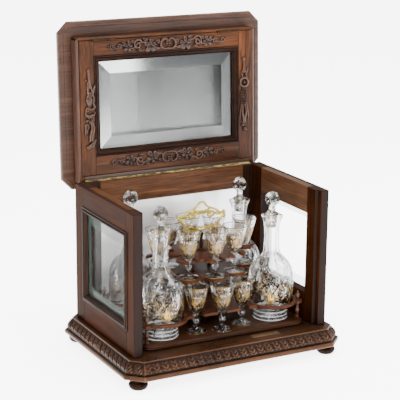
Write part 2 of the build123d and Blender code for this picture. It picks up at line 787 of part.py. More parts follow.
def nodes():
    """Every piece of the cabinet, as a list of solids by name."""
    parts = {}
    for make in (base_moulding, base_board, bun_feet, strike_plate, back_frame, back_mirror, back_hinge_leaf):
        parts[make.__name__] = make()
    for make in (side_left, side_glass_left, side_bead_left):
        left, right = both_sides(make())
        parts[make.__name__] = left
        parts[make.__name__.replace("left", "right")] = right
    for make in (lid_frieze, lid_board, lid_mirror, lid_hinge_leaf, lid_hinge_pin, door_hinge_lid_leaves, lid_catch):
        parts[make.__name__] = make()
    for make in (door_frame, door_bead, door_glass, garland_top, garland_bottom, door_hinge_leaves, door_hinge_pins):
        parts[make.__name__] = make()
    parts["garland_left"], parts["garland_right"] = both_sides(garland_left())
    parts["door_catch_plate"] = door_catch_plate()
    for name in list(parts):
        if name.startswith(("lid_", "door_", "garland_")):
            solids = parts[name] if isinstance(parts[name], (list, tuple)) else [parts[name]]
            parts[name] = [opened(solid) for solid in solids]
    for make in (tray_base, ring_plate, foot_shelf, top_plate, corner_posts, tray_columns, handle_stem, handle):
        parts[make.__name__] = make()
    for name, place in decanter_places().items():
        parts[f"decanter_{name}"] = decanter(place)
        parts[f"stopper_{name}"] = stopper(place)
    for name, (place, level) in goblets().items():
        parts[name] = goblet(place, level)
    return parts


def export_all():
    os.makedirs("parts", exist_ok=True)
    for name, shape in nodes().items():
        solids = []
        for piece in shape if isinstance(shape, (list, tuple)) else [shape]:
            solids += piece.solids()
        body = solids[0] if len(solids) == 1 else Compound(children=solids)
        export_step(body, f"parts/{name}.step")


export_all()
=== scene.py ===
import json
import math
import random
from itertools import product
from math import cos, exp, pi, radians, sin

import bmesh
import bpy
from mathutils import Matrix, Vector


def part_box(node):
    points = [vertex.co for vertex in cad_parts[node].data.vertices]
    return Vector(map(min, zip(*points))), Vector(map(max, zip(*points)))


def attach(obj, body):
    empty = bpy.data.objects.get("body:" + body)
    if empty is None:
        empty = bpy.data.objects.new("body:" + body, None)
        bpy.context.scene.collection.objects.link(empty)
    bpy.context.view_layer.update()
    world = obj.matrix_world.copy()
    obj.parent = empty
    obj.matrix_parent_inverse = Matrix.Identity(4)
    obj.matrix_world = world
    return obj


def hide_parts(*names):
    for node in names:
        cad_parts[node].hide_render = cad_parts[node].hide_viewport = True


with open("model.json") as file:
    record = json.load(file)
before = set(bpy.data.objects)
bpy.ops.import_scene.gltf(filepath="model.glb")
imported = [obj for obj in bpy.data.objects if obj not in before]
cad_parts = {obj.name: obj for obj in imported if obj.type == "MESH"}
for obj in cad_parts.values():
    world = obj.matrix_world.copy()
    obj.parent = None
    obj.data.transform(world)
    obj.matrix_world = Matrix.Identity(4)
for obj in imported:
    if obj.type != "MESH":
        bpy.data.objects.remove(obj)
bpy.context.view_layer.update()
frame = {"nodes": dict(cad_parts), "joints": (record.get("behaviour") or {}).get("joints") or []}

# An antique tantalus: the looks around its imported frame. Shapes are made in millimetres, in the frame's axes,
# and become metres when a piece is finished.

MM = 0.001
TAU = 2 * pi
SIDES = (-1, 1)
scene = bpy.context.scene
random.seed(11)


def span(node):
    """The lowest and highest corner of a CAD node, in millimetres."""
    return [[c / MM for c in corner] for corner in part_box(node)]


# Places read from the frame
WALL_LO, WALL_HI = span("side_left")
PIN_LO, PIN_HI = span("lid_hinge_pin")
TRAY_LO, TRAY_HI = span("tray_base")
RING_LO, RING_HI = span("ring_plate")
HALF_W = -WALL_LO[0]
INNER_HALF = -WALL_HI[0]
FRONT, BACK = WALL_LO[1], WALL_HI[1]
BASE_TOP, CASE_TOP = WALL_LO[2], WALL_HI[2]
AXIS_Y = (PIN_LO[1] + PIN_HI[1]) / 2
AXIS_Z = (PIN_LO[2] + PIN_HI[2]) / 2
TRAY_Y = (TRAY_LO[1] + TRAY_HI[1]) / 2
LEAN = radians(-{joint["name"]: joint for joint in frame["joints"]}["lid_hinge"]["range_deg"][0])

# Sizes shared with the solids, in millimetres
BASE_OVER_FRONT, BASE_OVER_SIDE, BASE_OVER_BACK, BASE_CLIP = 33.0, 21.0, 27.0, 24.0
FOOT_H, FOOT_R = 17.0, 15.0
BOARD_MARGIN = 34.0
BACK_T, BACK_LEAF_W = 12.0, 4.5
LIP_T, REBATE_D = 14.0, 8.8
WINDOW_SIDE, WINDOW_BACK, WINDOW_LOW, WINDOW_HIGH = 33.0, 39.0, 47.0, 42.7
PANE_SEAT, PANE_T, BEAD_FLANGE = 7.0, 3.0, 4.0
LID_OVER_SIDE, LID_OVER_FRONT, LID_OVER_BACK, LID_CLIP = 12.0, 34.0, 16.5, 17.0
FRIEZE_H, FRIEZE_EDGE, LID_BOARD_T, LID_RAISE, LID_STEP = 20.0, 4.5, 10.0, 6.0, 14.0
DOOR_T, DOOR_PROUD, DOOR_FLOOR_GAP, DOOR_CLEAR, EDGE_GAP = 13.0, 5.0, 7.0, 0.4, 0.2
DOOR_STILE, RAIL_HIGH, RAIL_LOW, SIGHT_BEAD = 25.0, 25.0, 30.0, 10.0
GLASS_SET, GLASS_T = 5.0, 4.0
TRAY_CORNER, POST_R, COLUMN_R = 14.0, 4.2, 3.6
DOOR_HALF = HALF_W - LIP_T - DOOR_CLEAR
DOOR_REACH = AXIS_Y - FRONT + DOOR_PROUD
DOOR_A1 = DOOR_REACH - EDGE_GAP
DOOR_A0 = DOOR_A1 - (AXIS_Z - EDGE_GAP - BASE_TOP - DOOR_FLOOR_GAP)

# How far the door's carvings may reach, so that they clear the case when the lid shuts over them
CARVING_PROUD = 4.45
CARVING_HALF = INNER_HALF - 0.4
CARVING_LOW = AXIS_Y - BACK + 12.5


# Mesh building

class Soup:
    """The points and faces of one piece, gathered in millimetres."""

    def __init__(self):
        self.verts, self.faces, self.slots = [], [], []

    def add(self, verts, faces, slot=0):
        start = len(self.verts)
        self.verts += [tuple(v) for v in verts]
        self.faces += [tuple(start + i for i in face) for face in faces]
        self.slots += [slot] * len(faces)


def grid(soup, rows, wrap=False, slot=0):
    """Quads between rows of points. wrap joins each row's end to its start."""
    count = len(rows[0])
    faces = []
    for i in range(len(rows) - 1):
        for j in range(count if wrap else count - 1):
            a, b = i * count + j, i * count + (j + 1) % count
            faces.append((a, b, b + count, a + count))
    soup.add([p for row in rows for p in row], faces, slot)


def cap(soup, row, slot=0):
    soup.add(row, [tuple(range(len(row)))], slot)


def skin(soup, rows, slot=0):
    """Quads round rows of points, shut at both ends."""
    grid(soup, rows, True, slot)
    cap(soup, rows[0], slot)
    cap(soup, rows[-1], slot)


def plain(x, y, z):
    return (x, y, z)


def opened(x, a, b):
    """A place on the lid: a is the distance from the hinge, b is the height above the closed case."""
    return (x, AXIS_Y - a * cos(LEAN) + b * sin(LEAN), AXIS_Z + a * sin(LEAN) + b * cos(LEAN))


def on_door(x, a, out):
    """A place on the door's face, standing out towards the viewer."""
    return opened(x, a, -out)


def board(soup, x, y, z, edge=0.5, place=plain, slot=0):
    """A board with its edges taken off, between pairs of limits."""
    corners, verts, faces = {}, [], []
    for key in product((0, 1), repeat=3):
        at = [limits[end] for limits, end in zip((x, y, z), key)]
        for d in range(3):
            corners[key + (d,)] = len(verts)
            verts.append(place(*[at[e] + (0 if e == d else -edge if key[e] else edge) for e in range(3)]))

    def index(d, side, iu, iv, axis):
        key = [iu, iv]
        key.insert(d, side)
        return corners[(*key, axis)]
    for d, side in product(range(3), (0, 1)):
        faces.append([index(d, side, iu, iv, d) for iu, iv in ((0, 0), (1, 0), (1, 1), (0, 1))])
    for d, iu, iv in product(range(3), (0, 1), (0, 1)):
        u, v = [e for e in range(3) if e != d]
        faces.append([index(d, side, iu, iv, axis) for side, axis in ((0, u), (1, u), (1, v), (0, v))])
    faces += [[corners[key + (d,)] for d in range(3)] for key in product((0, 1), repeat=3)]
    soup.add(verts, faces, slot)


def boards(soup, table, place=plain):
    """Boards from rows of three pairs of limits, an edge and a slot."""
    for *limits, edge, slot in table:
        board(soup, *limits, edge, place, slot)


def smooth_line(points, steps):
    """A smooth line through points, of any number of coordinates."""
    line = []
    last = len(points) - 1
    for i in range(last):
        near = points[max(i - 1, 0)], points[i], points[i + 1], points[min(i + 2, last)]
        for t in [s / steps for s in range(steps)]:
            line.append(tuple(
                0.5 * (2 * b + (c - a) * t + (2 * a - 5 * b + 4 * c - d) * t * t + (3 * b - a - 3 * c + d) * t ** 3)
                for a, b, c, d in zip(*near)))
    line.append(tuple(points[last]))
    return line


def hoop(radius, z, sides):
    """Points round an upright axis."""
    return [(radius * cos(TAU * k / sides), radius * sin(TAU * k / sides), z) for k in range(sides)]


def lathe(soup, profile, centre=(0, 0, 0), sides=32, cut=None):
    """Turns (radius, height) points about an upright axis. cut(angle, height) scales the radius."""
    cx, cy, cz = centre
    rows = []
    for r, z in profile:
        row = []
        for k in range(sides):
            angle = TAU * k / sides
            reach = r * (cut(angle, z) if cut else 1)
            row.append((cx + reach * cos(angle), cy + reach * sin(angle), cz + z))
        rows.append(row)
    skin(soup, rows)


def tube(soup, points, radii, sides=8, place=plain, slot=0, squash=1.0):
    """A tube along points in a surface's coordinates. squash flattens it towards the surface."""
    pts = [Vector(p) for p in points]
    rows = []
    for i, p in enumerate(pts):
        along = (pts[min(i + 1, len(pts) - 1)] - pts[max(i - 1, 0)]).normalized()
        side = along.cross(Vector((0, 0, 1))).normalized()
        lift = side.cross(along).normalized()
        r = radii[i] if isinstance(radii, (list, tuple)) else radii
        rows.append([place(*(p + side * r * cos(TAU * k / sides) + lift * r * squash * sin(TAU * k / sides)))
                     for k in range(sides)])
    skin(soup, rows, slot)


def stroke(soup, place, points, radii, sides=8, steps=6, squash=1.0):
    """A tube along a smooth line, with its radii at its start, middle and end. steps=0 keeps the points."""
    line = smooth_line(points, steps) if steps else points
    start, middle, end = radii
    swell = []
    for i in range(len(line)):
        t = i / (len(line) - 1)
        swell.append(start + (middle - start) * t * 2 if t < 0.5 else middle + (end - middle) * (t * 2 - 1))
    tube(soup, line, swell, sides, place, squash=squash)


def straight(start, end, out, steps):
    """Points on a straight line at one height above a surface."""
    (x, y), (u, v) = start, end
    return [(x + (u - x) * k / steps, y + (v - y) * k / steps, out) for k in range(steps + 1)]


def mitred(corners, inset):
    """A closed run of corners, counter-clockwise, moved inward by an amount."""
    moved = []
    for i, (x, y) in enumerate(corners):
        x0, y0 = corners[i - 1]
        x1, y1 = corners[(i + 1) % len(corners)]
        a, b = Vector((x - x0, y - y0)).normalized(), Vector((x1 - x, y1 - y)).normalized()
        bisector = Vector((-a.y, a.x)) + Vector((-b.y, b.x))
        scale = inset * 2 / bisector.length_squared
        moved.append((x + bisector.x * scale, y + bisector.y * scale))
    return moved


def oblong(x, y, grow=0.0):
    (x0, x1), (y0, y1) = x, y
    return [(x0 - grow, y0 - grow), (x1 + grow, y0 - grow), (x1 + grow, y1 + grow), (x0 - grow, y1 + grow)]


def cover(soup, corners, level, place=plain):
    """A flat face within a run of corners."""
    cap(soup, [place(x, y, level) for x, y in corners])


def clipped(half, y, clip):
    y0, y1 = y
    return [(-half + clip, y0), (half - clip, y0), (half, y0 + clip), (half, y1 - clip),
            (half - clip, y1), (-half + clip, y1), (-half, y1 - clip), (-half, y0 + clip)]


def recess(half, y):
    """An oblong with each corner given twice, to pair with a clipped outline."""
    corners = oblong((-half, half), y)
    return [corners[i // 2 % 4] for i in range(1, 9)]


def rounded(centre, half_x, half_y, radius, steps=6):
    """An oblong with round corners."""
    points = []
    for sx, sy, start in ((1, -1, -pi / 2), (1, 1, 0), (-1, 1, pi / 2), (-1, -1, pi)):
        for k in range(steps + 1):
            angle = start + pi / 2 * k / steps
            points.append((centre[0] + sx * (half_x - radius) + radius * cos(angle),
                           centre[1] + sy * (half_y - radius) + radius * sin(angle)))
    return points


def four(node, reach):
    """The middles of four round pieces at the corners of a CAD node."""
    lo, hi = span(node)
    return product((lo[0] + reach, hi[0] - reach), (lo[1] + reach, hi[1] - reach))


def raised(profile, z):
    """A profile of (inset or radius, height) points, moved up."""
    return [(inset, z + height) for inset, height in profile]


def moulding(soup, corners, profile, place=plain, step=None, relief=None, slot=0, close=False):
    """A moulding that runs round corners. Each point of its profile is (inset or a list of corners, height).
    relief(run, edge length, profile index) gives how far carving stands out."""
    count = len(corners)
    stations = []
    for i in range(count):
        (xa, ya), (xb, yb) = corners[i], corners[(i + 1) % count]
        length = math.hypot(xb - xa, yb - ya)
        outward = ((yb - ya) / length, -(xb - xa) / length)
        pieces = max(1, round(length / step)) if step else 1
        stations += [(i, k / pieces, length, outward) for k in range(pieces)]
    rows = []
    for j, (inset, z) in enumerate(profile):
        ring = mitred(corners, inset) if isinstance(inset, (int, float)) else inset
        row = []
        for i, t, length, outward in stations:
            (xa, ya), (xb, yb) = ring[i], ring[(i + 1) % count]
            out = relief(t * length, length, j) if relief else 0
            row.append(place(xa + (xb - xa) * t + outward[0] * out, ya + (yb - ya) * t + outward[1] * out, z))
        rows.append(row)
    if close:
        rows.append(rows[0])
    grid(soup, rows, True, slot)


def leaf(soup, place, base, heading, length, width, lift, bend=0.0, lobes=0, slot=0, rows=12, skirt=0.5):
    """A carved or engraved leaf from its base towards a heading, in a surface's two coordinates."""
    grid_rows = []
    x, y = base
    step = length / rows
    for i in range(rows + 1):
        t = i / rows
        angle = heading + bend * t
        if i:
            x, y = x + step * cos(angle), y + step * sin(angle)
        swell = max(0.0, sin(pi * min(1.0, t ** 0.75 * 0.98 + 0.02))) ** 0.8
        if lobes:
            swell *= 0.72 + 0.4 * abs(sin(pi * lobes * t))
        half = max(0.12, width / 2 * swell)
        row = []
        for s in (-1.0, -0.97, -0.66, -0.33, -0.08, 0.0, 0.08, 0.33, 0.66, 0.97, 1.0):
            height = lift * (0.3 + 0.7 * sin(pi * min(1, 0.1 + 0.8 * t))) * (1 - 0.6 * s * s)
            height -= lift * 0.28 * exp(-(s / 0.14) ** 2)
            height += lift * 0.08 * cos(TAU * (4 * t - 1.5 * abs(s)))
            if abs(s) == 1.0:
                height = -skirt
            row.append(place(x - sin(angle) * half * s, y + cos(angle) * half * s, height))
        grid_rows.append(row)
    grid(soup, grid_rows, False, slot)


def dome(soup, place, centre, radius, height, slot=0, sides=12, rings=5):
    """A rounded boss on a surface."""
    x, y = centre
    rows = []
    for angle in [pi / 2 * i / rings for i in range(rings + 1)]:
        ring = hoop(max(radius * cos(angle), 0.05), height * sin(angle) - 0.3, sides)
        rows.append([place(x + u, y + v, out) for u, v, out in ring])
    grid(soup, rows, True, slot)
    cap(soup, rows[-1], slot)


def flower(soup, place, centre, radius, lift, petals=6, turn=0.0):
    for k in range(petals):
        angle = turn + TAU * k / petals
        base = (centre[0] + radius * 0.12 * cos(angle), centre[1] + radius * 0.12 * sin(angle))
        leaf(soup, place, base, angle, radius * 0.9, radius * 5.2 / petals, lift, rows=7)
    dome(soup, place, centre, radius * 0.28, lift * 1.15, 0, 10, 4)


def mesh_of(name, soup, materials, angle=32, flat=False):
    """A mesh in metres, with its normals set and its edges sharp from an angle."""
    mesh = bpy.data.meshes.new(name)
    mesh.from_pydata([(x * MM, y * MM, z * MM) for x, y, z in soup.verts], [], soup.faces)
    mesh.polygons.foreach_set("material_index", soup.slots)
    for material in materials:
        mesh.materials.append(material)
    work = bmesh.new()
    work.from_mesh(mesh)
    bmesh.ops.remove_doubles(work, verts=work.verts, dist=1e-6)
    bmesh.ops.recalc_face_normals(work, faces=work.faces)
    work.to_mesh(mesh)
    work.free()
    mesh.shade_smooth()
    if flat:
        mesh.shade_flat()
    else:
        mesh.set_sharp_from_angle(angle=radians(angle))
    return mesh


def placed(name, data):
    made = bpy.data.objects.new(name, data)
    scene.collection.objects.link(made)
    return made


def ride(name, mesh, body, slot, replaces, at=None, turn=0.0):
    """Puts a mesh in the scene on its body, and hides the CAD parts that it replaces."""
    piece = placed(name, mesh)
    if at:
        piece.location = [c * MM for c in at]
        piece.rotation_euler = (0, 0, turn)
    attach(piece, body)
    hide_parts(*replaces)


def finish(name, soup, materials, body, slot, replaces, angle=32, flat=False):
    ride(name, mesh_of(name, soup, materials, angle, flat), body, slot, replaces)


# Materials

def scaled(colour, factor):
    return tuple(c * factor for c in colour)


class Shader:
    """A material's node tree, with short calls for its nodes."""

    def __init__(self, name):
        self.material = bpy.data.materials.new(name)
        self.material.use_nodes = True
        self.tree = self.material.node_tree
        self.base = self.tree.nodes["Principled BSDF"]

    def node(self, kind, inputs=None, **settings):
        made = self.tree.nodes.new("ShaderNode" + kind)
        for key, value in settings.items():
            setattr(made, key, value)
        for key, value in (inputs or {}).items():
            self.put(made.inputs[key], value)
        return made

    def put(self, socket, value):
        if isinstance(value, bpy.types.NodeSocket):
            self.tree.links.new(value, socket)
        else:
            socket.default_value = value

    def set(self, **values):
        for key, value in values.items():
            self.put(self.base.inputs[key.replace("_", " ")], value)

    def math(self, operation, a, b=0.0):
        return self.node("Math", {0: a, 1: b}, operation=operation).outputs[0]

    def plus(self, a, b):
        return self.math("ADD", a, b)

    def times(self, a, b):
        return self.math("MULTIPLY", a, b)

    def most(self, a, b):
        return self.math("MAXIMUM", a, b)

    def ramp(self, value, stops):
        made = self.node("ValToRGB", {"Fac": value})
        made.color_ramp.elements.remove(made.color_ramp.elements[1])
        for i, (at, colour) in enumerate(stops):
            element = made.color_ramp.elements.new(at) if i else made.color_ramp.elements[0]
            element.position, element.color = at, (*colour, 1)
        return made.outputs["Color"]

    def level(self, value, low, high, out_low=0.0, out_high=1.0):
        limits = {"From Min": low, "From Max": high, "To Min": out_low, "To Max": out_high}
        return self.node("MapRange", {"Value": value, **limits}).outputs["Result"]

    def mix(self, factor, a, b, blend="MIX"):
        a, b = [c if isinstance(c, bpy.types.NodeSocket) else (*c, 1) for c in (a, b)]
        return self.node("Mix", {"Factor": factor, "A": a, "B": b}, data_type="RGBA",
                         blend_type=blend).outputs["Result"]

    def noise(self, vector, scale, detail=3.0, rough=0.55, distortion=0.0):
        look = {"Scale": scale, "Detail": detail, "Roughness": rough, "Distortion": distortion}
        return self.node("TexNoise", {"Vector": vector, **look}).outputs["Fac"]

    def stretched_noise(self, vector, scale, *look):
        return self.noise(self.node("Mapping", {"Vector": vector, "Scale": scale}).outputs["Vector"], 1.0, *look)

    def coords(self):
        return self.node("TexCoord").outputs["Object"]

    def split(self, vector):
        return self.node("SeparateXYZ", {"Vector": vector}).outputs

    def geometry(self, kind):
        return self.node("NewGeometry").outputs[kind]

    def occlusion(self, distance, samples):
        return self.node("AmbientOcclusion", {"Distance": distance}, samples=samples).outputs["AO"]

    def rim(self):
        return self.node("LayerWeight", {"Blend": 0.4}).outputs["Facing"]

    def bump(self, height, strength, distance, normal=None):
        inputs = {"Height": height, "Strength": strength, "Distance": distance}
        if normal:
            inputs["Normal"] = normal
        self.set(Normal=self.node("Bump", inputs).outputs["Normal"])


def wood(name, grain, tones, rough=0.36, coat=0.0, gloss=0.22, wear_and_highlight=0.0, soft_edge=True, dull_front=False):
    """Waxed walnut with its grain along one axis, pores, patina and painted shade in the corners. tones are in
    thousandths.
    Carved wood may have its ridges paled, for rubbing and for a painted highlight. The faces that look forward and up
    may be greyed, a painted sheen."""
    s = Shader(name)
    where = s.coords()
    tones = [scaled(tone, 0.001) for tone in tones]
    slow, fine = [60.0] * 3, [620.0] * 3
    slow["xyz".index(grain)], fine["xyz".index(grain)] = 4.0, 22.0
    figure = s.stretched_noise(where, slow, 6.0, 0.6, 1.4)
    fibre = s.stretched_noise(where, fine, 3.0, 0.6)
    patina = s.noise(where, 14.0, 4.0, 0.6)
    blend = s.plus(s.times(figure, 0.5), s.times(fibre, 0.5))
    colour = s.ramp(blend, zip((0.3, 0.5, 0.68), tones))
    pores = s.level(fibre, 0.33, 0.42, 0.45, 1.0)
    colour = s.mix(0.55, colour, s.ramp(pores, [(0.4, (0.35, 0.3, 0.3)), (1.0, (1, 1, 1))]), "MULTIPLY")
    tone = s.ramp(patina, [(0.32, (0.66, 0.6, 0.58)), (0.55, (1, 1, 1)), (0.75, (1.22, 1.14, 1.05))])
    colour = s.mix(0.8, colour, tone, "MULTIPLY")
    # Ambient occlusion darkens the colour in corners and crevices: painted shade.
    shade = s.occlusion(0.007, 6)
    if wear_and_highlight:
        # Ridges paled towards the light tone: rubbing and a painted highlight.
        worn_and_highlit = s.times(s.level(s.geometry("Pointiness"), 0.505, 0.575), s.level(patina, 0.3, 0.6, 0.35, 1.0))
        colour = s.mix(worn_and_highlit, colour, scaled(tones[2], wear_and_highlight))
        crevice_shade = s.level(shade, 0.4, 0.97, 0.05, 1.0)
    else:
        crevice_shade = s.level(shade, 0.3, 0.85, 0.3, 1.0)
    colour = s.mix(1.0, colour, s.node("CombineColor", {0: crevice_shade, 1: crevice_shade, 2: crevice_shade}).outputs[0], "MULTIPLY")
    # Faces that look forward or up are greyed: a painted sheen.
    if dull_front:
        facing = s.split(s.geometry("Normal"))
        colour = s.mix(s.level(facing["Y"], -0.9, -0.6, 0.8, 0.0), colour, (0.0125, 0.0098, 0.0092))
        colour = s.mix(s.level(facing["Z"], 0.7, 0.95, 0.0, 0.6), colour, (0.024, 0.0155, 0.0122))
    s.set(Base_Color=colour, Coat_Weight=coat, Coat_Roughness=0.2, Specular_IOR_Level=gloss)
    s.set(Roughness=s.level(s.plus(fibre, patina), 0.6, 1.4, rough - 0.08, rough + 0.14))
    edge = s.node("Bevel", {"Radius": 0.0009}, samples=4).outputs["Normal"] if soft_edge else None
    s.bump(s.plus(s.times(fibre, 0.7), s.times(figure, 0.3)), 0.22, 0.0004, edge)
    return s.material


def woods(name, axes, tones, **look):
    """One wood with its grain along each of some axes."""
    return {axis: wood(f"{name}_{axis}", axis, tones, **look) for axis in axes}


def brass(name, bright, dull, rough, tarnish):
    """Brass or gilding, with tarnish in its hollows and fine rubbing."""
    s = Shader(name)
    where = s.coords()
    cloud = s.noise(where, 90.0, 5.0, 0.65)
    rubbed = s.stretched_noise(where, (900, 120, 900), 2.0)
    shade = s.occlusion(0.003, 4)
    colour = s.mix(s.times(s.level(cloud, 0.4, 0.7), tarnish), bright, dull)
    colour = s.mix(s.level(shade, 0.3, 0.9, 0.75, 0.0), colour, scaled(dull, 0.35))
    s.set(Base_Color=colour, Metallic=1.0, Roughness=s.level(s.plus(cloud, rubbed), 0.7, 1.3, rough, rough + 0.2))
    s.bump(rubbed, 0.12, 0.0002)
    return s.material


def knuckled(name, bright, dull, pitch):
    """A piano hinge's knuckles: short brass barrels with a dark joint between each pair."""
    s = Shader(name)
    where = s.coords()
    gap = s.level(s.math("PINGPONG", s.math("DIVIDE", s.split(where)["X"], pitch * MM), 0.5), 0.03, 0.12)
    cloud = s.noise(where, 140.0, 4.0)
    colour = s.mix(gap, (0.012, 0.008, 0.004), s.mix(s.level(cloud, 0.35, 0.65), dull, bright))
    s.set(Base_Color=colour, Metallic=0.45, Roughness=s.level(cloud, 0.3, 0.7, 0.22, 0.42))
    s.bump(gap, 0.6, 0.0004)
    return s.material


def glinting(name, bright, dull, top):
    """A hinge's strip: dull brass with short painted glints along it, below the height top."""
    s = Shader(name)
    where = s.coords()
    dash = s.level(s.stretched_noise(where, (120, 420, 420), 2.0), 0.46, 0.58)
    lit = s.times(dash, s.level(s.split(where)["Z"], top * MM, (top + 1.0) * MM, 1.0, 0.0))
    s.set(Base_Color=s.mix(lit, dull, bright), Metallic=0.3, Roughness=0.4)
    return s.material


def crystal(name, tint, alpha, bend, rim, clear=1.0):
    """Clear old glass, with a very faint waviness, and painted dark edges where it is seen edge-on."""
    s = Shader(name)
    slow = s.noise(s.coords(), 55.0, 2.0)
    edge = s.rim()
    body = s.mix(s.level(slow, 0.35, 0.7), tint, [min(1.0, c) for c in scaled(tint, 1.03)])
    # The colour turns darker where the glass is seen edge-on: painted dark edges.
    s.set(Base_Color=s.mix(s.level(edge, 0.5, 0.95, 0.0, 0.75), body, scaled(tint, 0.4)))
    s.set(Transmission_Weight=clear, IOR=bend, Alpha=s.level(edge, 0.25, 0.85, alpha, rim), Roughness=0.0)
    s.bump(slow, 0.002, 0.0012)
    return s.material


def faceted(name):
    """Cut crystal: small patches painted from dark to white, a painted highlight and shade for facets that catch or
    lose the light.
    """
    s = Shader(name)
    cells = s.node("TexVoronoi", {"Vector": s.coords(), "Scale": 210.0}).outputs["Color"]
    value = s.node("SeparateColor", {"Color": cells}).outputs[0]
    stops = [(0.3, (0.02, 0.018, 0.012)), (0.5, (0.12, 0.10, 0.05)), (0.66, (0.55, 0.48, 0.34)), (0.8, (1, 1, 1))]
    s.set(Base_Color=s.ramp(value, stops), Transmission_Weight=1.0, IOR=1.5, Roughness=0.0,
          Alpha=s.most(s.level(value, 0.3, 0.8, 0.9, 0.5), s.level(s.rim(), 0.4, 0.9, 0.0, 0.9)))
    return s.material


def bevel(name, tone, haze):
    """The ground and polished bevel of a mirror's edge."""
    s = Shader(name)
    cloud = s.noise(s.coords(), 30.0, 3.0)
    stops = [(0.35, (tone * 0.86, tone * 0.88, tone * 0.88)), (0.65, (tone, tone * 1.02, tone * 1.02))]
    s.set(Base_Color=s.ramp(cloud, stops), Metallic=1.0, Roughness=haze, Alpha=0.6)
    return s.material


def traced(name, low, high, radius, cells, cover, wash, tones, alpha, glint_scale, foot=-99.0):
    """Clear glass with a cut and gilt tracery between two heights, in millimetres. It has painted highlights and
    painted shade: light and dark flecks, light and dark rings below the height foot, and darker edges where it is seen
    edge-on.
    """
    s = Shader(name)
    where = s.coords()
    x, y, z = s.split(where)
    around = s.times(s.math("ARCTAN2", y, x), cells / TAU)
    half_height = s.times(s.times(z, cells / (TAU * radius * MM)), 0.5)
    fan, lean = s.plus(around, half_height), s.math("SUBTRACT", around, half_height)
    wander = s.times(s.noise(where, 320.0, 2.0), 0.35)
    strokes = [s.math("ABSOLUTE", s.math("SINE", s.times(s.plus(line, wander), pi))) for line in (fan, lean)]
    lattice = s.math("MINIMUM", *strokes)
    break_up = s.level(s.noise(where, 700.0, 3.0), 0.42, 0.5)
    band = s.times(s.level(z, low * MM, (low + 3) * MM), s.level(z, high * MM, (high - 3) * MM))
    gold = s.times(s.times(s.level(lattice, cover, cover * 0.7), break_up), band)
    # Cells between the cut lines, toned from dark to pale: the glass's stain, with painted light and shade on its cut
    # facets.
    cell = s.times(*[s.math("SINE", s.times(line, TAU)) for line in (fan, lean)])
    cell = s.plus(cell, s.times(s.noise(where, 600.0, 2.0), 1.6))
    tan = s.ramp(s.level(cell, -0.2, 1.8), zip((0.25, 0.45, 0.62, 0.82), tones))
    blush = s.times(band, wash)
    # Light and dark flecks, and light and dark rings below foot: painted highlights and painted shade.
    bright = s.level(s.stretched_noise(where, (glint_scale, glint_scale, glint_scale / 3), 2.0), 0.62, 0.68)
    dark = s.level(s.stretched_noise(where, (glint_scale * 0.7, glint_scale * 0.7, glint_scale / 5), 2.0), 0.38, 0.33)
    rings = s.math("SINE", s.times(z, TAU / 0.0062))
    low_part = s.level(z, foot * MM, (foot + 1) * MM, 1.0, 0.0)
    bright = s.most(bright, s.times(s.level(rings, 0.55, 0.8), low_part))
    dark = s.most(dark, s.times(s.level(rings, -0.5, -0.8), low_part))
    edge = s.rim()
    # The colour turns darker where the glass is seen edge-on: painted dark edges.
    body = s.mix(s.level(edge, 0.5, 0.95, 0.0, 0.75), (0.985, 0.99, 0.99), (0.24, 0.245, 0.25))
    body = s.mix(s.times(dark, 0.8), s.mix(blush, body, tan), (0.07, 0.065, 0.06))
    s.set(Base_Color=s.mix(gold, body, (0.26, 0.155, 0.045)), Metallic=gold, Roughness=s.times(gold, 0.25))
    seen = s.most(s.times(blush, 0.85), s.level(edge, 0.25, 0.85, alpha, 0.92))
    seen = s.most(seen, s.times(s.most(dark, bright), 0.5))
    clear = s.math("SUBTRACT", 1.0, s.times(bright, 0.6))
    s.set(Transmission_Weight=clear, IOR=1.45, Alpha=s.most(gold, seen))
    s.bump(s.times(lattice, band), 0.5, 0.0011)
    return s.material


def silvering(name, tint, haze):
    """Old mirror: grey silvering, clouded with age."""
    s = Shader(name)
    where = s.coords()
    cloud = s.noise(where, 9.0, 5.0, 0.6)
    specks = s.level(s.noise(where, 420.0, 2.0), 0.72, 0.78)
    colour = s.ramp(cloud, [(0.3, scaled(tint, 0.86)), (0.7, tint)])
    s.set(Base_Color=s.mix(s.times(specks, 0.5), colour, (0.12, 0.11, 0.1)))
    s.set(Metallic=1.0, Roughness=s.level(cloud, 0.3, 0.8, haze, haze * 1.4))
    return s.material


# The tones between a tracery's lines, dark to pale for painted light and shade on cut facets, and the dark, middle and
# light tones of the woods that share them
TAN = ((0.06, 0.03, 0.012), (0.30, 0.17, 0.08), (0.52, 0.35, 0.20), (0.95, 0.88, 0.78))
SMOKE = ((0.045, 0.045, 0.05), (0.17, 0.175, 0.19), (0.38, 0.39, 0.41), (0.9, 0.91, 0.92))
DEEP = ((3.6, 1.6, 1), (11, 4.6, 2.6), (26, 11.2, 6.2))
RED = ((11, 3.1, 1), (34.2, 9.4, 2.6), (75.6, 22.8, 6.5))

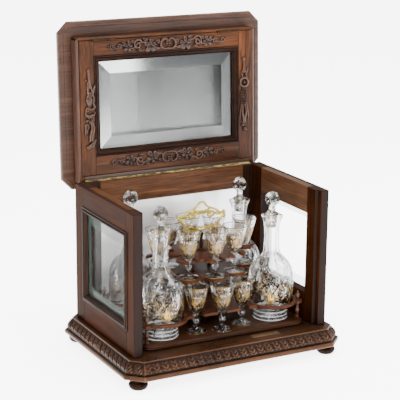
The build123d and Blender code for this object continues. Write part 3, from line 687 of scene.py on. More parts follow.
walnut = woods("walnut", "yz", ((5, 1.5, 0.5), (17, 4.7, 1.3), (40, 11.6, 3)), rough=0.45, gloss=0.01, dull_front=True)
lid_wood = woods("lid_walnut", "xz", ((12, 5, 2.7), (36, 15.8, 9.2), (68, 30.5, 18)), rough=0.4, gloss=0.2)
inner_wood = woods("inner_walnut", "xy", ((15, 6, 2.8), (52, 21, 9.2), (115, 48, 20)), gloss=0.07)
warm = woods("warm_walnut", "xz", ((6, 1.8, 0.6), (30, 8.8, 2), (84, 26.5, 5.8)), coat=0.02, gloss=0.1)
deep = woods("dark_walnut", "xz", DEEP, rough=0.34, gloss=0.04)
foot_wood = wood("foot_walnut", "z", DEEP, rough=0.28, gloss=0.03, soft_edge=False)
carved_base = wood("carved_band", "x", ((3, 1.3, 0.7), (10.5, 4.2, 1.9), (25, 10.6, 4.7)), rough=0.28, gloss=0.06,
                   wear_and_highlight=5.0, soft_edge=False)
carved_spray = wood("carved_spray", "z", ((3, 1.4, 0.9), (10.5, 4.8, 3), (27, 12.5, 7.8)), rough=0.2, gloss=0.17,
                    wear_and_highlight=2.4, soft_edge=False)
tray_dark = wood("tray_board", "x", ((5.6, 2.1, 0.9), (20, 7.2, 2.8), (46, 17.2, 7)), rough=0.3, gloss=0.08)
tray_wood = wood("tray_walnut", "x", RED, rough=0.32, gloss=0.06)
turned_wood = wood("turned_walnut", "z", RED, rough=0.28, coat=0.15, soft_edge=False)
gilt = brass("gilt_brass", (0.38, 0.28, 0.035), (0.12, 0.08, 0.01), 0.18, 0.7)
strip_brass = glinting("hinge_strip", (0.36, 0.26, 0.075), (0.030, 0.014, 0.006), 268.6)
knuckles = knuckled("hinge_knuckles", (0.95, 0.72, 0.28), (0.50, 0.34, 0.11), 11.0)
dark_brass = brass("dark_brass", (0.030, 0.017, 0.008), (0.012, 0.007, 0.004), 0.4, 1.0)
aged_brass = brass("aged_brass", (0.16, 0.095, 0.045), (0.09, 0.05, 0.025), 0.42, 1.0)
gilding = brass("gilding", (0.36, 0.23, 0.06), (0.15, 0.08, 0.018), 0.18, 0.7)
facets = faceted("cut_ball")
foot_glass = traced("foot_crystal", -9.0, -5.0, 16.0, 12, 0.2, 0.0, TAN, 0.3, 300.0)
goblet_glass = traced("gilded_goblet", 30.0, 62.0, 16.0, 12, 0.20, 0.85, TAN, 0.14, 280.0)
decanter_glass = traced("gilded_decanter", 22.0, 64.0, 35.0, 14, 0.09, 0.22, SMOKE, 0.16, 130.0, 17.0)
pane_glass = crystal("bevelled_glass", (0.93, 0.97, 0.955), 0.18, 1.3, 0.4)
window_glass = crystal("window_glass", (0.55, 0.62, 0.58), 0.12, 1.06, 0.14)
green_bevel = crystal("green_bevel", (0.060, 0.085, 0.072), 0.42, 1.08, 0.5, 0.3)
cut_bevel = bevel("cut_bevel", 0.46, 0.08)
# A darker copy of the bevel for two of the door pane's facets: painted shade.
shaded_bevel = bevel("shaded_bevel", 0.14, 0.3)
silver = silvering("silvering", (0.93, 0.935, 0.94), 0.36)
grey_silver = silvering("grey_silvering", (0.088, 0.09, 0.09), 0.1)


# Camera, light and floor

def make_camera():
    """The camera that fits the photograph: its place from the case's front, and its turn, tilt and roll."""
    place = Vector((-1021.5819, FRONT - 1797.0846, BASE_TOP + 775.7927)) * MM
    azimuth, elevation, roll = radians(-28.1532), radians(14.8989), radians(0.5277)
    photo_width, focal_length = 400, 1411.8747
    back = Vector((sin(azimuth) * cos(elevation), -cos(azimuth) * cos(elevation), sin(elevation)))
    right = (-back).cross(Vector((0, 0, 1))).normalized()
    up = right.cross(-back)
    tilted = right * cos(roll) + up * sin(roll), up * cos(roll) - right * sin(roll), back
    data = bpy.data.cameras.new("camera")
    data.sensor_width = 36.0
    data.lens = 36.0 * focal_length / photo_width
    data.clip_end = 50
    scene.camera = placed("camera", data)
    scene.camera.matrix_world = Matrix.Translation(place) @ Matrix(tilted).transposed().to_4x4()


def area_light(name, place, target, size, power):
    data = bpy.data.lights.new(name, "AREA")
    data.shape = "RECTANGLE"
    data.size, data.size_y = size
    data.energy = power
    light = placed(name, data)
    light.location = place
    light.rotation_euler = (Vector(place) - Vector(target)).to_track_quat("Z", "Y").to_euler()


def make_floor():
    """A floor that is white and glows in front of the camera. Behind it, only reflections show a dull grey part."""
    s = Shader("pale_floor")
    pale = s.ramp(s.noise(s.coords(), 3.0, 3.0), [(0.3, (0.92, 0.92, 0.92)), (0.7, (0.95, 0.95, 0.95))])
    depth = s.split(s.coords())["Y"]
    s.set(Base_Color=s.mix(s.level(depth, -5.0, -1.9), (0.42, 0.42, 0.425), pale), Roughness=0.9,
          Specular_IOR_Level=0.1, Emission_Color=(1, 1, 1, 1),
          Emission_Strength=s.level(depth, -3.2, -1.9, 0.0, 5.2))
    mesh = bpy.data.meshes.new("floor")
    reach = 12.0
    mesh.from_pydata([(x, y, 0) for x, y in oblong((-reach, reach), (-reach, reach))], [], [(0, 1, 2, 3)])
    mesh.materials.append(s.material)
    floor = placed("floor", mesh)


def make_world():
    """The light all round: grey up to just above the horizon and white overhead."""
    scene.world = bpy.data.worlds.new("studio")
    scene.world.use_nodes = True
    tree = scene.world.node_tree
    split, ramp = [tree.nodes.new("ShaderNode" + kind) for kind in ("SeparateXYZ", "ValToRGB")]
    tree.links.new(tree.nodes.new("ShaderNodeTexCoord").outputs["Generated"], split.inputs[0])
    tree.links.new(split.outputs["Z"], ramp.inputs["Fac"])
    tree.links.new(ramp.outputs["Color"], tree.nodes["Background"].inputs["Color"])
    stops = ramp.color_ramp.elements
    stops[0].color = (0.22, 0.225, 0.23, 1)
    stops[1].position, stops[1].color = 0.5, (1.0, 1.0, 1.0, 1)
    stops.new(0.12).color = (0.30, 0.305, 0.31, 1)
    tree.nodes["Background"].inputs["Strength"].default_value = 1.9


def make_lights():
    """Three soft lights, a card that the lid's mirror shows, and four small lights for the crystal's glints."""
    area_light("key", (-1.3, -1.7, 1.9), (0, 0, 0.2), (0.8, 0.8), 75)
    area_light("side", (1.9, -0.8, 1.3), (0, 0, 0.25), (0.6, 1.2), 38)
    area_light("top", (0.1, 0.3, 2.2), (0, 0, 0.2), (1.4, 1.0), 42)
    seen = Vector(opened(-92.0, 120.0, 0.0)) * MM
    ray = (seen - scene.camera.location).normalized()
    facing = (Vector(opened(0, 0, -1)) - Vector(opened(0, 0, 0))).normalized()
    area_light("window", seen + (ray - 2 * ray.dot(facing) * facing) * 1.9, seen, (0.13, 0.95), 5)
    for i, place in enumerate(((-0.55, -1.5, 1.3), (0.5, -1.7, 1.1), (-1.3, -0.9, 0.9), (0.1, -0.9, 1.6))):
        area_light(f"glint_{i}", place, (0, 0, 0.15), (0.07, 0.12), 3.5)


# Case

def base_relief(first, last):
    """Carving for the base: leaves that lean and overlap, each with a vein and lobes."""
    leaf_width, lean, corner = 15, 0.42, 3

    def relief(run, length, j):
        if not first <= j <= last:
            return 0
        v = (j - first) / (last - first)
        pitch = length / max(2, round(length / leaf_width))
        at = run / pitch + lean * v
        own = sin(12.9898 * math.floor(at) + length) * 437.585 % 1
        u = (at % 1) - 0.5 + 0.1 * (own - 0.5)
        half = 0.5 * (1 - 0.35 * v ** 3)
        body = max(0, 1 - (abs(u) / half) ** 2.4) ** 0.6
        vein = 0.42 * exp(-(u / 0.06) ** 2)
        lobes = 0.28 * cos(TAU * ((2.6 + own) * v - (2 + own) * abs(u)))
        rim = sin(pi * v) ** 0.45 if 0 < v < 1 else 0
        ends = min(1, run / corner, (length - run) / corner)
        return ((1.75 + 0.7 * own) * body * (1 - vein + lobes) - 1.15) * rim * max(0, ends)
    return relief


def make_base():
    soup = Soup()
    outer = clipped(HALF_W + BASE_OVER_SIDE, (FRONT - BASE_OVER_FRONT, BACK + BASE_OVER_BACK), BASE_CLIP)
    well = recess(HALF_W - BOARD_MARGIN, (FRONT + BOARD_MARGIN, BACK - BOARD_MARGIN))
    lower = [(well, BASE_TOP - 10)] + raised([
        (well, 0), (3, 0), (1.2, 0.5), (0.3, 1.8), (0, 3.2), (0, 5), (0.4, 6.4), (1.3, 7.4), (2.6, 7.9),
        (3.8, 8), (4.4, 8.5), (4.6, 9.2)], FOOT_H)
    band = [(4.4 + 7.6 * t ** 1.25 - 2.6 * sin(pi * t) * 0.9, FOOT_H + 9.6 + 15.6 * t)
            for t in [k / 18 for k in range(19)]]
    upper = raised([(12.4, 25.8), (12.2, 26.6), (12.5, 27.4), (13.2, 27.9)], FOOT_H)
    upper += [(14, BASE_TOP), (well, BASE_TOP)]
    relief = base_relief(len(lower), len(lower + band) - 1)
    moulding(soup, outer, lower + band + upper, step=1.5, relief=relief)
    finish("base_carving", soup, [carved_base], "case", "dark_walnut", ["base_moulding"], 50)


def make_strike():
    """The strike plate on the ledge: a dull brass plate with two screws, and dark sheets that paint the shade in its
    slot and in the screws' slots.
    """
    lo, hi = span("strike_plate")
    cx, cy, z = (lo[0] + hi[0]) / 2, (lo[1] + hi[1]) / 2, hi[2]
    half_x, half_y = (hi[0] - lo[0]) / 2, (hi[1] - lo[1]) / 2
    face, slot_half, screw_inset = 0.16, 5, 6
    corners = rounded((cx, cy), half_x, half_y, 2)
    soup = Soup()
    moulding(soup, corners, raised([(0, -0.6), (0, 0.02), (0.25, face)], z))
    cover(soup, mitred(corners, 0.25), z + face)
    # A dark sheet stands for the slot: painted shade.
    board(soup, (cx - slot_half, cx + slot_half), (cy - 1.2, cy + 1.2), (z + 0.1, z + 0.2), 0.05, slot=1)
    for side in SIDES:
        screw = cx + side * (half_x - screw_inset)
        dome(soup, lambda x, y, out: (x, y, z + 0.42 + 0.3 * out), (screw, cy), 2.1, 1, 0, 16, 4)
        # A dark sheet stands for the screw's slot: painted shade.
        board(soup, (screw - 1.5, screw + 1.5), (cy - 0.25, cy + 0.25), (z + 0.3, z + 0.66), 0.03, slot=1)
    finish("strike", soup, [aged_brass, dark_brass], "case", "aged_brass", ["strike_plate"])


def make_feet():
    soup = Soup()
    bun = [(0.05, 0), (8.6, 0), (12.6, 1.6), (FOOT_R, 6), (14.2, 9.6), (10.6, 12.4)]
    profile = [(r, max(0, z)) for r, z in smooth_line(bun, 4)]
    profile += [(10.4, 12.8), (11.6, 13.4), (11.9, 14.4), (11.5, 15.4), (10.2, 15.9), (10, FOOT_H), (0.05, FOOT_H)]
    for x, y in four("bun_feet", FOOT_R):
        lathe(soup, profile, (x, y, 0), 40)
    finish("feet", soup, [foot_wood], "case", "walnut", ["bun_feet"])


def bevelled_pane(soup, corners, levels, bevel, hidden, place, facet=0, shade_slot=0):
    """A sheet of glass with a wide bevel: its back, its thin edge and its face. Two of its facets may take a darker
    material, a painted shade.
    """
    back, thin, face = levels
    moulding(soup, corners, [(0, back), (0, thin), (hidden * 0.6, thin)], place)
    first = len(soup.slots)
    moulding(soup, corners, [(hidden * 0.6, thin), (bevel, face)], place, slot=facet)
    # Two facets take the darker bevel: painted shade.
    if shade_slot:
        soup.slots[first:first + 2] = [shade_slot] * 2
    for inset, level in ((0, back), (bevel, face)):
        cover(soup, mitred(corners, inset), level, place)


def make_sides():
    y0, y1 = FRONT + WINDOW_SIDE, BACK - WINDOW_BACK
    z0, z1 = BASE_TOP + WINDOW_LOW, CASE_TOP - WINDOW_HIGH
    seat = PANE_SEAT
    lip, middle = HALF_W - LIP_T, HALF_W - seat
    outer, inner, full = (middle, HALF_W), (INNER_HALF, middle + 0.2), (BASE_TOP, CASE_TOP)
    wide, narrow = (y0 - seat + 0.05, y1 + seat - 0.05), (y0 + 0.05, y1 - 0.05)
    wall = (
        ((lip, HALF_W), (FRONT, y0 - seat), full, 0.7, 0),
        ((lip, middle + 0.2), (y0 - seat - 1, y0), full, 0.3, 0),
        ((INNER_HALF, lip + 0.4), (FRONT + REBATE_D, y0), full, 0.5, 0),
        (outer, (y1 + seat, BACK), full, 0.6, 0),
        (inner, (y1, BACK), full, 0.4, 0),
        (outer, wide, (z1 + seat, CASE_TOP), 0.35, 1),
        (inner, narrow, (z1, CASE_TOP), 0.35, 2),
        (outer, wide, (BASE_TOP, z0 - seat), 0.35, 1),
        (inner, narrow, (BASE_TOP, z0), 0.35, 1))
    rim, hidden, thin_edge, bevel_width = seat + BEAD_FLANGE, seat - 0.5, 1.5, 15
    levels = (-seat, -seat + thin_edge, -seat + PANE_T)
    profile = [(0, -0.2), (0, 0.9), (0.5, 1.5), (1.3, 1.7), (2, 1.4), (2.4, 0.7), (3, 0.6), (3.3, 1.6),
               (4, 2.6), (5, 3), (6, 2.7), (6.7, 1.8), (7, 0.9), (7.5, 0.7), (8.4, 0.2), (9.4, -1.2),
               (10.2, -2.6), (10.8, -3.6), (rim, -4), (rim - 1.5, -4), (4.2, -4), (4.2, -0.2)]
    for side, name in zip(SIDES, ("left", "right")):
        def upright(y, z, out):
            return (side * (HALF_W + out), y, z)
        soup = Soup()
        boards(soup, wall, lambda x, y, z: (side * x, y, z))
        # The inner rail above the window takes the paler inner walnut: a painted highlight.
        finish(f"side_boards_{name}", soup, [walnut["z"], walnut["y"], inner_wood["y"]], "case", "walnut",
               [f"side_{name}"])
        soup = Soup()
        moulding(soup, oblong((y0, y1), (z0, z1), rim), profile, upright, close=True)
        finish(f"window_moulding_{name}", soup, [deep["z"]], "case", "dark_walnut", [f"side_bead_{name}"], 24)
        soup = Soup()
        corners = oblong((y0, y1), (z0, z1), hidden)
        bevelled_pane(soup, corners, levels, hidden + bevel_width, hidden, upright, 1)
        finish(f"window_glass_{name}", soup, [window_glass, green_bevel], "case", "pane", [f"side_glass_{name}"],
               flat=True)


def make_back():
    lo, hi = span("back_mirror")
    inner, leaf_y = BACK - BACK_T, BACK - BACK_LEAF_W
    x, low, high = hi[0] + 0.3, lo[2] - 0.3, hi[2] + 0.3
    ledge = CASE_TOP - 1.2
    soup = Soup()
    boards(soup, (((-x, x), (inner, leaf_y), (high, CASE_TOP), 0.3, 0),
                  ((-x, x), (leaf_y - 1, BACK), (high, ledge), 0.3, 0),
                  ((-x, x), (inner, BACK), (BASE_TOP, low), 0.3, 0),
                  ((-x - 1, x + 1), (inner + 3, BACK - 0.6), (low - 1, high + 1), 0.2, 0)))
    for side in SIDES:
        # The side stiles take the dark walnut: painted shade, as they stand in shadow.
        ends = sorted((side * (x + 0.05), side * INNER_HALF))
        boards(soup, ((ends, (inner, leaf_y), (BASE_TOP, CASE_TOP), 0.3, 1),
                      (ends, (leaf_y - 1, BACK), (BASE_TOP, ledge), 0.3, 1)))
    finish("back_boards", soup, [inner_wood["x"], deep["z"]], "case", "walnut", ["back_frame"])


# Lid

def make_lid():
    def place(x, away, b):
        return opened(x, -away, b)
    soup = Soup()
    outer = clipped(HALF_W + LID_OVER_SIDE, (-(AXIS_Y - FRONT + LID_OVER_FRONT), LID_OVER_BACK), LID_CLIP)
    inset, depth = 6, 3
    pocket = recess(DOOR_HALF - inset, (-(DOOR_A1 - inset), -(DOOR_A0 + inset)))
    top = FRIEZE_H + LID_BOARD_T
    profile = raised([(pocket, depth), (pocket, 0), (9.6, 0), (9, 0.6), (8.4, 0), (2.4, 0), (1, 0.5), (0.2, 1.6),
                      (0, 3)], FRIEZE_H)
    profile += raised([(0, -3), (0.3, -1.5), (1.2, -0.5), (2.6, 0), (4.2, 0.1), (4.6, 0.8), (5.6, 2.6), (7.2, 4),
                       (9.2, 4.8), (11.6, 5.2), (12, LID_RAISE), (LID_STEP, LID_RAISE)], top)
    moulding(soup, outer, profile, place)
    cover(soup, mitred(outer, LID_STEP), top + LID_RAISE, place)
    cover(soup, [pocket[i] for i in (0, 1, 3, 5)], FRIEZE_H + depth, place)
    finish("lid_boards", soup, [lid_wood["x"]], "lid", "walnut", ["lid_board"], 24)

    x0 = DOOR_HALF + DOOR_CLEAR
    x1, half = x0 + FRIEZE_EDGE, INNER_HALF + 0.5
    a0, front, low = DOOR_A0 - DOOR_CLEAR, DOOR_REACH + EDGE_GAP, -4
    a1 = front + FRIEZE_EDGE
    full = (0, FRIEZE_H)
    frieze = [((-x1, x1), (front, a1), full, 1, 1)]
    for side in SIDES:
        frieze += [(sorted((side * x0, side * x1)), (low, a1), full, 1, 0),
                   (sorted((side * INNER_HALF, side * (x0 + 1))), (low, a0), full, 0.3, 1)]
    frieze += [((-half, half), (2.8, a0), (1.2, FRIEZE_H), 0.3, 1), ((-half, half), (low, 3.4), (3, FRIEZE_H), 0.3, 1)]
    soup = Soup()
    boards(soup, frieze, opened)
    finish("lid_frieze_boards", soup, [lid_wood["z"], warm["x"]], "lid", "walnut", ["lid_frieze"])


# Door

def make_door():
    soup = Soup()
    a0, a1 = DOOR_A0, DOOR_A1 - 0.05
    inner = DOOR_HALF - DOOR_STILE
    sight = (DOOR_A0 + RAIL_LOW, DOOR_A1 - RAIL_HIGH)
    stiles = [(sorted((side * inner, side * DOOR_HALF)), (a0, a1), (0, DOOR_T), 0.5, 0) for side in SIDES]
    rails = [((-inner + 0.05, inner - 0.05), a, (0.05, DOOR_T), 0.4, 1) for a in ((sight[1], a1), (a0, sight[0]))]
    boards(soup, stiles + rails, opened)
    finish("door_boards", soup, [warm["z"], warm["x"]], "door", "walnut", ["door_frame"])

    soup = Soup()
    corners = oblong((-inner, inner), sight)
    rear = -GLASS_SET - GLASS_T
    front_bead = [(-0.6, -0.1), (-0.4, 0.9), (0.2, 1.4), (1, 1.5), (1.9, 1.2), (2.3, 0.5), (2.6, -0.3), (3.2, -0.4),
                  (3.4, 0.5), (4.2, 0.7), (5.4, 0.2), (6.4, -1), (7.2, -2), (7.5, -2.9), (8.2, -3), (8.4, -2.6),
                  (9.2, -2.9), (9.8, -3.8), (SIGHT_BEAD, -GLASS_SET), (0, -GLASS_SET)]
    rear_bead = [(0, rear), (0, -DOOR_T + 0.2), (9, -DOOR_T + 0.2), (SIGHT_BEAD, -DOOR_T + 1.4),
                 (SIGHT_BEAD, rear)]
    for profile in (front_bead, rear_bead):
        moulding(soup, corners, profile, on_door, close=True)
    finish("door_moulding", soup, [deep["x"]], "door", "dark_walnut", ["door_bead"], 24)

    soup = Soup()
    bevel_drop, bevel_width = 1.9, 19
    levels = (rear, -GLASS_SET - bevel_drop, -GLASS_SET)
    bevelled_pane(soup, mitred(corners, 0.5), levels, SIGHT_BEAD + bevel_width, SIGHT_BEAD, on_door, 1, 2)
    finish("door_pane", soup, [pane_glass, cut_bevel, shaded_bevel], "door", "pane", ["door_glass"], flat=True)


def vine_leaf(soup, place, centre, heading, radius, lift, lobes=5):
    """A broad carved leaf with pointed lobes, a rib down each lobe and dished hollows between them."""
    rows = []
    sectors, rings = lobes * 10, 9
    for i in range(rings + 1):
        rho = i / rings
        row = []
        for k in range(sectors):
            angle = TAU * k / sectors
            lobe = abs(cos(lobes * angle / 2))
            reach = radius * (0.56 + 0.44 * lobe ** 0.9) * (0.88 + 0.12 * cos(angle)) * rho
            height = lift * (0.4 + 0.6 * sin(pi * min(1, 0.15 + 0.75 * rho))) * (0.62 + 0.38 * lobe)
            height -= lift * 0.22 * exp(-((1 - lobe) / 0.05) ** 2) * rho
            height += lift * 0.07 * cos(lobes * 4 * angle) * rho
            if i == rings:
                height = -0.5
            row.append(place(centre[0] + reach * cos(angle + heading), centre[1] + reach * sin(angle + heading),
                             height))
        rows.append(row)
    grid(soup, rows, True)


def carve(soup, place, *parts):
    """Carves parts in turn, each a function with what it takes after the soup and the place."""
    for make, *how in parts:
        make(soup, place, *how)


def curl(soup, place, centre, radius, start, turns, thick, out=1.8):
    """A carved scroll that winds inwards and ends in a bead."""
    count = max(10, round(abs(turns) * 18))
    points = []
    for t in [i / count for i in range(count + 1)]:
        r, angle = radius * (1 - 0.78 * t), start + TAU * turns * t
        points.append((centre[0] + r * cos(angle), centre[1] + r * sin(angle), out))
    stroke(soup, place, points, (thick * 0.7, thick, thick * 0.8), steps=0)
    dome(soup, place, points[-1][:2], thick * 1.25, out + thick + 0.5, 0, 10, 4)


def swag(soup, middle, flip):
    """A carved spray along a rail: a ring of scrolls, vine leaves, volutes and curled ends."""
    def place(x, y, out):
        return on_door(x, max(CARVING_LOW, middle + flip * y), min(out, CARVING_PROUD))
    for side in SIDES:
        def half(x, y, out):
            return place(side * x, y, out)
        carve(
            soup, half,
            (stroke, [(1.5, -7.5, 1.6), (8, -7.6, 2), (13, -2.5, 2.2), (12.2, 4, 2.2), (7.2, 8, 2), (2.4, 6.4, 1.8),
                      (3.4, 2.8, 1.6)], (1.5, 2.3, 1.1), 10),
            (stroke, [(11, -5, 1.2), (20, -6, 1.4), (34, 1, 1.4), (50, 5, 1.5), (64, -4, 1.4), (80, 2, 1.3),
                      (94, -3, 1.1), (101, -1, 1)], (1.7, 1.6, 0.9)),
            (leaf, (12, 1), 0.7, 13, 8, 3.6, -0.6, 3), (leaf, (15, -6), -0.15, 13, 7, 3.4, 0.3, 3),
            (vine_leaf, (31, -1), -0.9, 14, 4.4), (leaf, (37, 5), 0.9, 11, 7, 3.6, -0.8, 2),
            (curl, (54, 1.5), 8.2, 2.6, -1.25, 1.9), (leaf, (46, -5), -0.5, 12, 7.5, 3.6, 0.6, 3),
            (leaf, (58, 6), 0.2, 12, 7, 3.4, -0.7, 3), (vine_leaf, (71, -1), 0.5, 11, 4.2),
            (leaf, (64, -6), -0.3, 12, 6, 3.2, 0.5, 3), (leaf, (76, 3), 0.8, 9, 5.5, 3.2, -0.8, 2),
            (flower, (86, 0.5), 5.6, 3.2, 5, 0.4), (leaf, (88, -3), -0.5, 9, 5, 2.8, 0.7, 2),
            (curl, (99.5, 0.6), 5.2, 3.4, 1.1, 1.25), (dome, (105.5, 1.5), 1.9, 3))
    carve(soup, place, (vine_leaf, (0, 1.5), pi / 2, 5.6, 4.2, 3), (dome, (0, -7.6), 2.8, 4.2))


def hung(x):
    """Places on a stile, from its middle at x."""
    def place(u, v, out):
        across = max(-CARVING_HALF, min(CARVING_HALF, x + u))
        return on_door(across, (DOOR_A0 + DOOR_A1) / 2 + v, min(out, CARVING_PROUD))
    return place


def pendant_left(soup, place):
    """A carved hanging trophy: a knob and rod, crossed sticks, a vase, ribbons, a crescent and a curved end."""
    rod = [(-1 + 0.1 * k, 59 - 2 * k, 1.9) for k in range(14)]
    carve(soup, place, (dome, (-1, 61), 3.3, 4.6), (stroke, rod, (2.05, 2.43, 1.92), 8, 0), (dome, (-5, 46), 2.6, 4))
    for a, b in (((-3, 44), (-3, 24)), ((1, 42), (5, 26)), ((9, 37), (4, 20))):
        stroke(soup, place, straight(a, b, 1.8, 8), (1.66, 2.05, 1.41), steps=0)
    carve(
        soup, place,
        (stroke, [(0.5, 27, 1.2), (0, 23, 1.8), (-1, 18, 2.2), (-1, 12, 2.2), (0, 7, 1.8), (0.5, 4, 1.4)],
         (2.82, 5.89, 2.56), 12, 4, 0.55),
        (stroke, [(4, 25, 1.4), (7, 18, 2), (6, 10, 1.8), (8, 3, 1.8), (3, -1, 1.8), (-5, 1, 1.8), (-7, -5, 1.6)],
         (1.41, 2.3, 1.41), 8, 6, 0.8),
        (curl, (-3.5, -1), 4.4, 0.6, 1, 1.3),
        (stroke, [(-8, -5, 1.4), (-6, -9.5, 2), (0, -11.5, 2.2), (6, -9.5, 2), (9, -6, 1.4)], (1.15, 3.07, 1.15), 10),
        (vine_leaf, (0, -17), -pi / 2, 8.4, 3.8), (leaf, (-3, -22), -2, 22, 10, 3.8, 0.35, 2))
    for u in (1.5, 5):
        stroke(soup, place, [(u * 0.6, -20, 1.6), (u + 1.2, -30, 2), (u - 1.5, -42, 2), (u - 2, -52, 1.8)],
               (1.54, 2.43, 1.79))
    stroke(soup, place, [(-6, -60, 1.2), (-3, -62, 2), (2, -59, 2.4), (6, -54, 2.2), (8.5, -50, 1.4)],
           (2.05, 4.1, 1.54), 10, squash=0.8)


def pendant_right(soup, place):
    """A carved hanging trophy: a knob and bell, a rosette, a cone of fruit, tails and two knobs."""
    dome(soup, place, (0, 61), 3.3, 4.6)
    bell = [(0, 58 - 1.4 * k, 1.6) for k in range(15)]
    tube(soup, bell, [1.5 + 0.035 * k * k * 0.5 for k in range(15)], 10, place, squash=0.75)
    for a, b in (((7, 45), (3, 33)), ((-5, 38), (-2, 30)), ((6, 32), (2, 29))):
        tube(soup, straight(a, b, 1.6, 6), 1.3, 8, place)
    tube(soup, [(7.2 * cos(TAU * k / 32), 22 + 7.2 * sin(TAU * k / 32), 2.4) for k in range(33)], 2, 10, place)
    flower(soup, place, (0, 22), 6, 3, 9)
    dome(soup, place, (0.6, 22), 2.7, 4.6)
    for row in range(11):
        half = 6.4 * sin(pi * (row + 2) / 14)
        count = max(1, round(half / 1.15))
        for k in range(count + 1):
            u = -half + 2 * half * (k + 0.5 * (row % 2)) / (count + 0.5)
            dome(soup, place, (u, 12 - row * 2.7), 1.7, 4.6 - 0.05 * u * u, 0, 8, 3)
    for side in SIDES:
        stroke(soup, place, [(side * 1.6, -16, 1.8), (side * 3.4, -26, 2), (side * 1.4, -38, 2),
                             (side * 1.4, -46, 1.6)], (1.41, 2.43, 1.41))
        stroke(soup, place, [(side * (5 + 0.35 * k), -14 - 2.6 * k, 1.6) for k in range(11)], (1.28, 1.66, 0.9),
               steps=0)
        leaf(soup, place, (side * 2, -12), -pi / 2 + side * 0.6, 12, 5.5, 3.2, -side * 0.4, 2)
    dome(soup, place, (-2.6, -50), 3.2, 4.6)
    dome(soup, place, (1.6, -57), 4.3, 4.8)


def make_carvings():
    x = (DOOR_HALF - DOOR_STILE + CARVING_HALF) / 2
    sprays = (("top", swag, DOOR_A1 - RAIL_HIGH / 2, 1), ("bottom", swag, DOOR_A0 + RAIL_LOW / 2 + 3, -1),
              ("left", pendant_left, hung(-x)), ("right", pendant_right, hung(x)))
    for name, make, *how in sprays:
        soup = Soup()
        make(soup, *how)
        finish(f"carving_{name}", soup, [carved_spray], "door", "carved_walnut", [f"garland_{name}"], 60)


# Tray

def turning(height, radius):
    """A turned spindle's profile: collars, beads and a vase."""
    unit = height / 26
    shares = ((1, 0), (1, 1.6), (0.62, 2.2), (0.6, 3.2), (0.86, 4), (0.86, 4.8), (0.5, 5.6), (0.52, 7.5),
              (0.92, 12), (0.95, 14), (0.6, 18.5), (0.48, 20.4), (0.84, 21.2), (0.84, 22), (0.56, 22.8),
              (0.62, 23.8), (1, 24.4), (1, 26))
    return [(0.05, 0)] + [(radius * share, z * unit) for share, z in shares] + [(0.05, 26 * unit)]


def make_tray():
    z0, z1 = TRAY_LO[2], TRAY_HI[2]
    soup = Soup()
    outline = rounded((0, TRAY_Y), TRAY_HI[0], (TRAY_HI[1] - TRAY_LO[1]) / 2, TRAY_CORNER)
    moulding(soup, outline, raised([
        (1.2, 0), (0.2, 0.4), (0, 1.2), (0.1, 2.4), (0.9, 2.9), (1.1, 3.6), (0.9, 4.6), (1.3, 5.9), (2.4, 6.7),
        (3.6, 6.9), (3.9, 7.6)], z0) + [(4.6, z1)])
    cover(soup, mitred(outline, 4.6), z1)
    cover(soup, mitred(outline, 1.2), z0)
    finish("tray_board", soup, [tray_dark], "tray", "tray_walnut", ["tray_base"], 24)

    soup = Soup()
    knob = smooth_line([(2.2, 0), (4, 0.6), (2, 2.4), (3.6, 5), (4.1, 7.4), (3, 10), (1.4, 12)], 3)
    knob = [(0.05, 0)] + knob + [(1.7, 12.8), (1.6, 13.9), (0.9, 14.8), (0.05, 15)]
    for x, y in four("corner_posts", POST_R):
        lathe(soup, turning(RING_LO[2] - z1, POST_R), (x, y, z1), 24)
        lathe(soup, knob, (x, y, RING_HI[2]), 24)
    finish("turned_posts", soup, [turned_wood], "tray", "tray_walnut", ["corner_posts"], 40)

    shelf_lo, shelf_hi = span("foot_shelf")
    soup = Soup()
    for low, high in ((z1, RING_LO[2]), (RING_HI[2], shelf_lo[2]), (shelf_hi[2], span("top_plate")[0][2])):
        for x, y in four("tray_columns", COLUMN_R):
            lathe(soup, turning(high - low, COLUMN_R), (x, y, low), 20)
    finish("turned_columns", soup, [turned_wood], "tray", "tray_walnut", ["tray_columns"], 40)


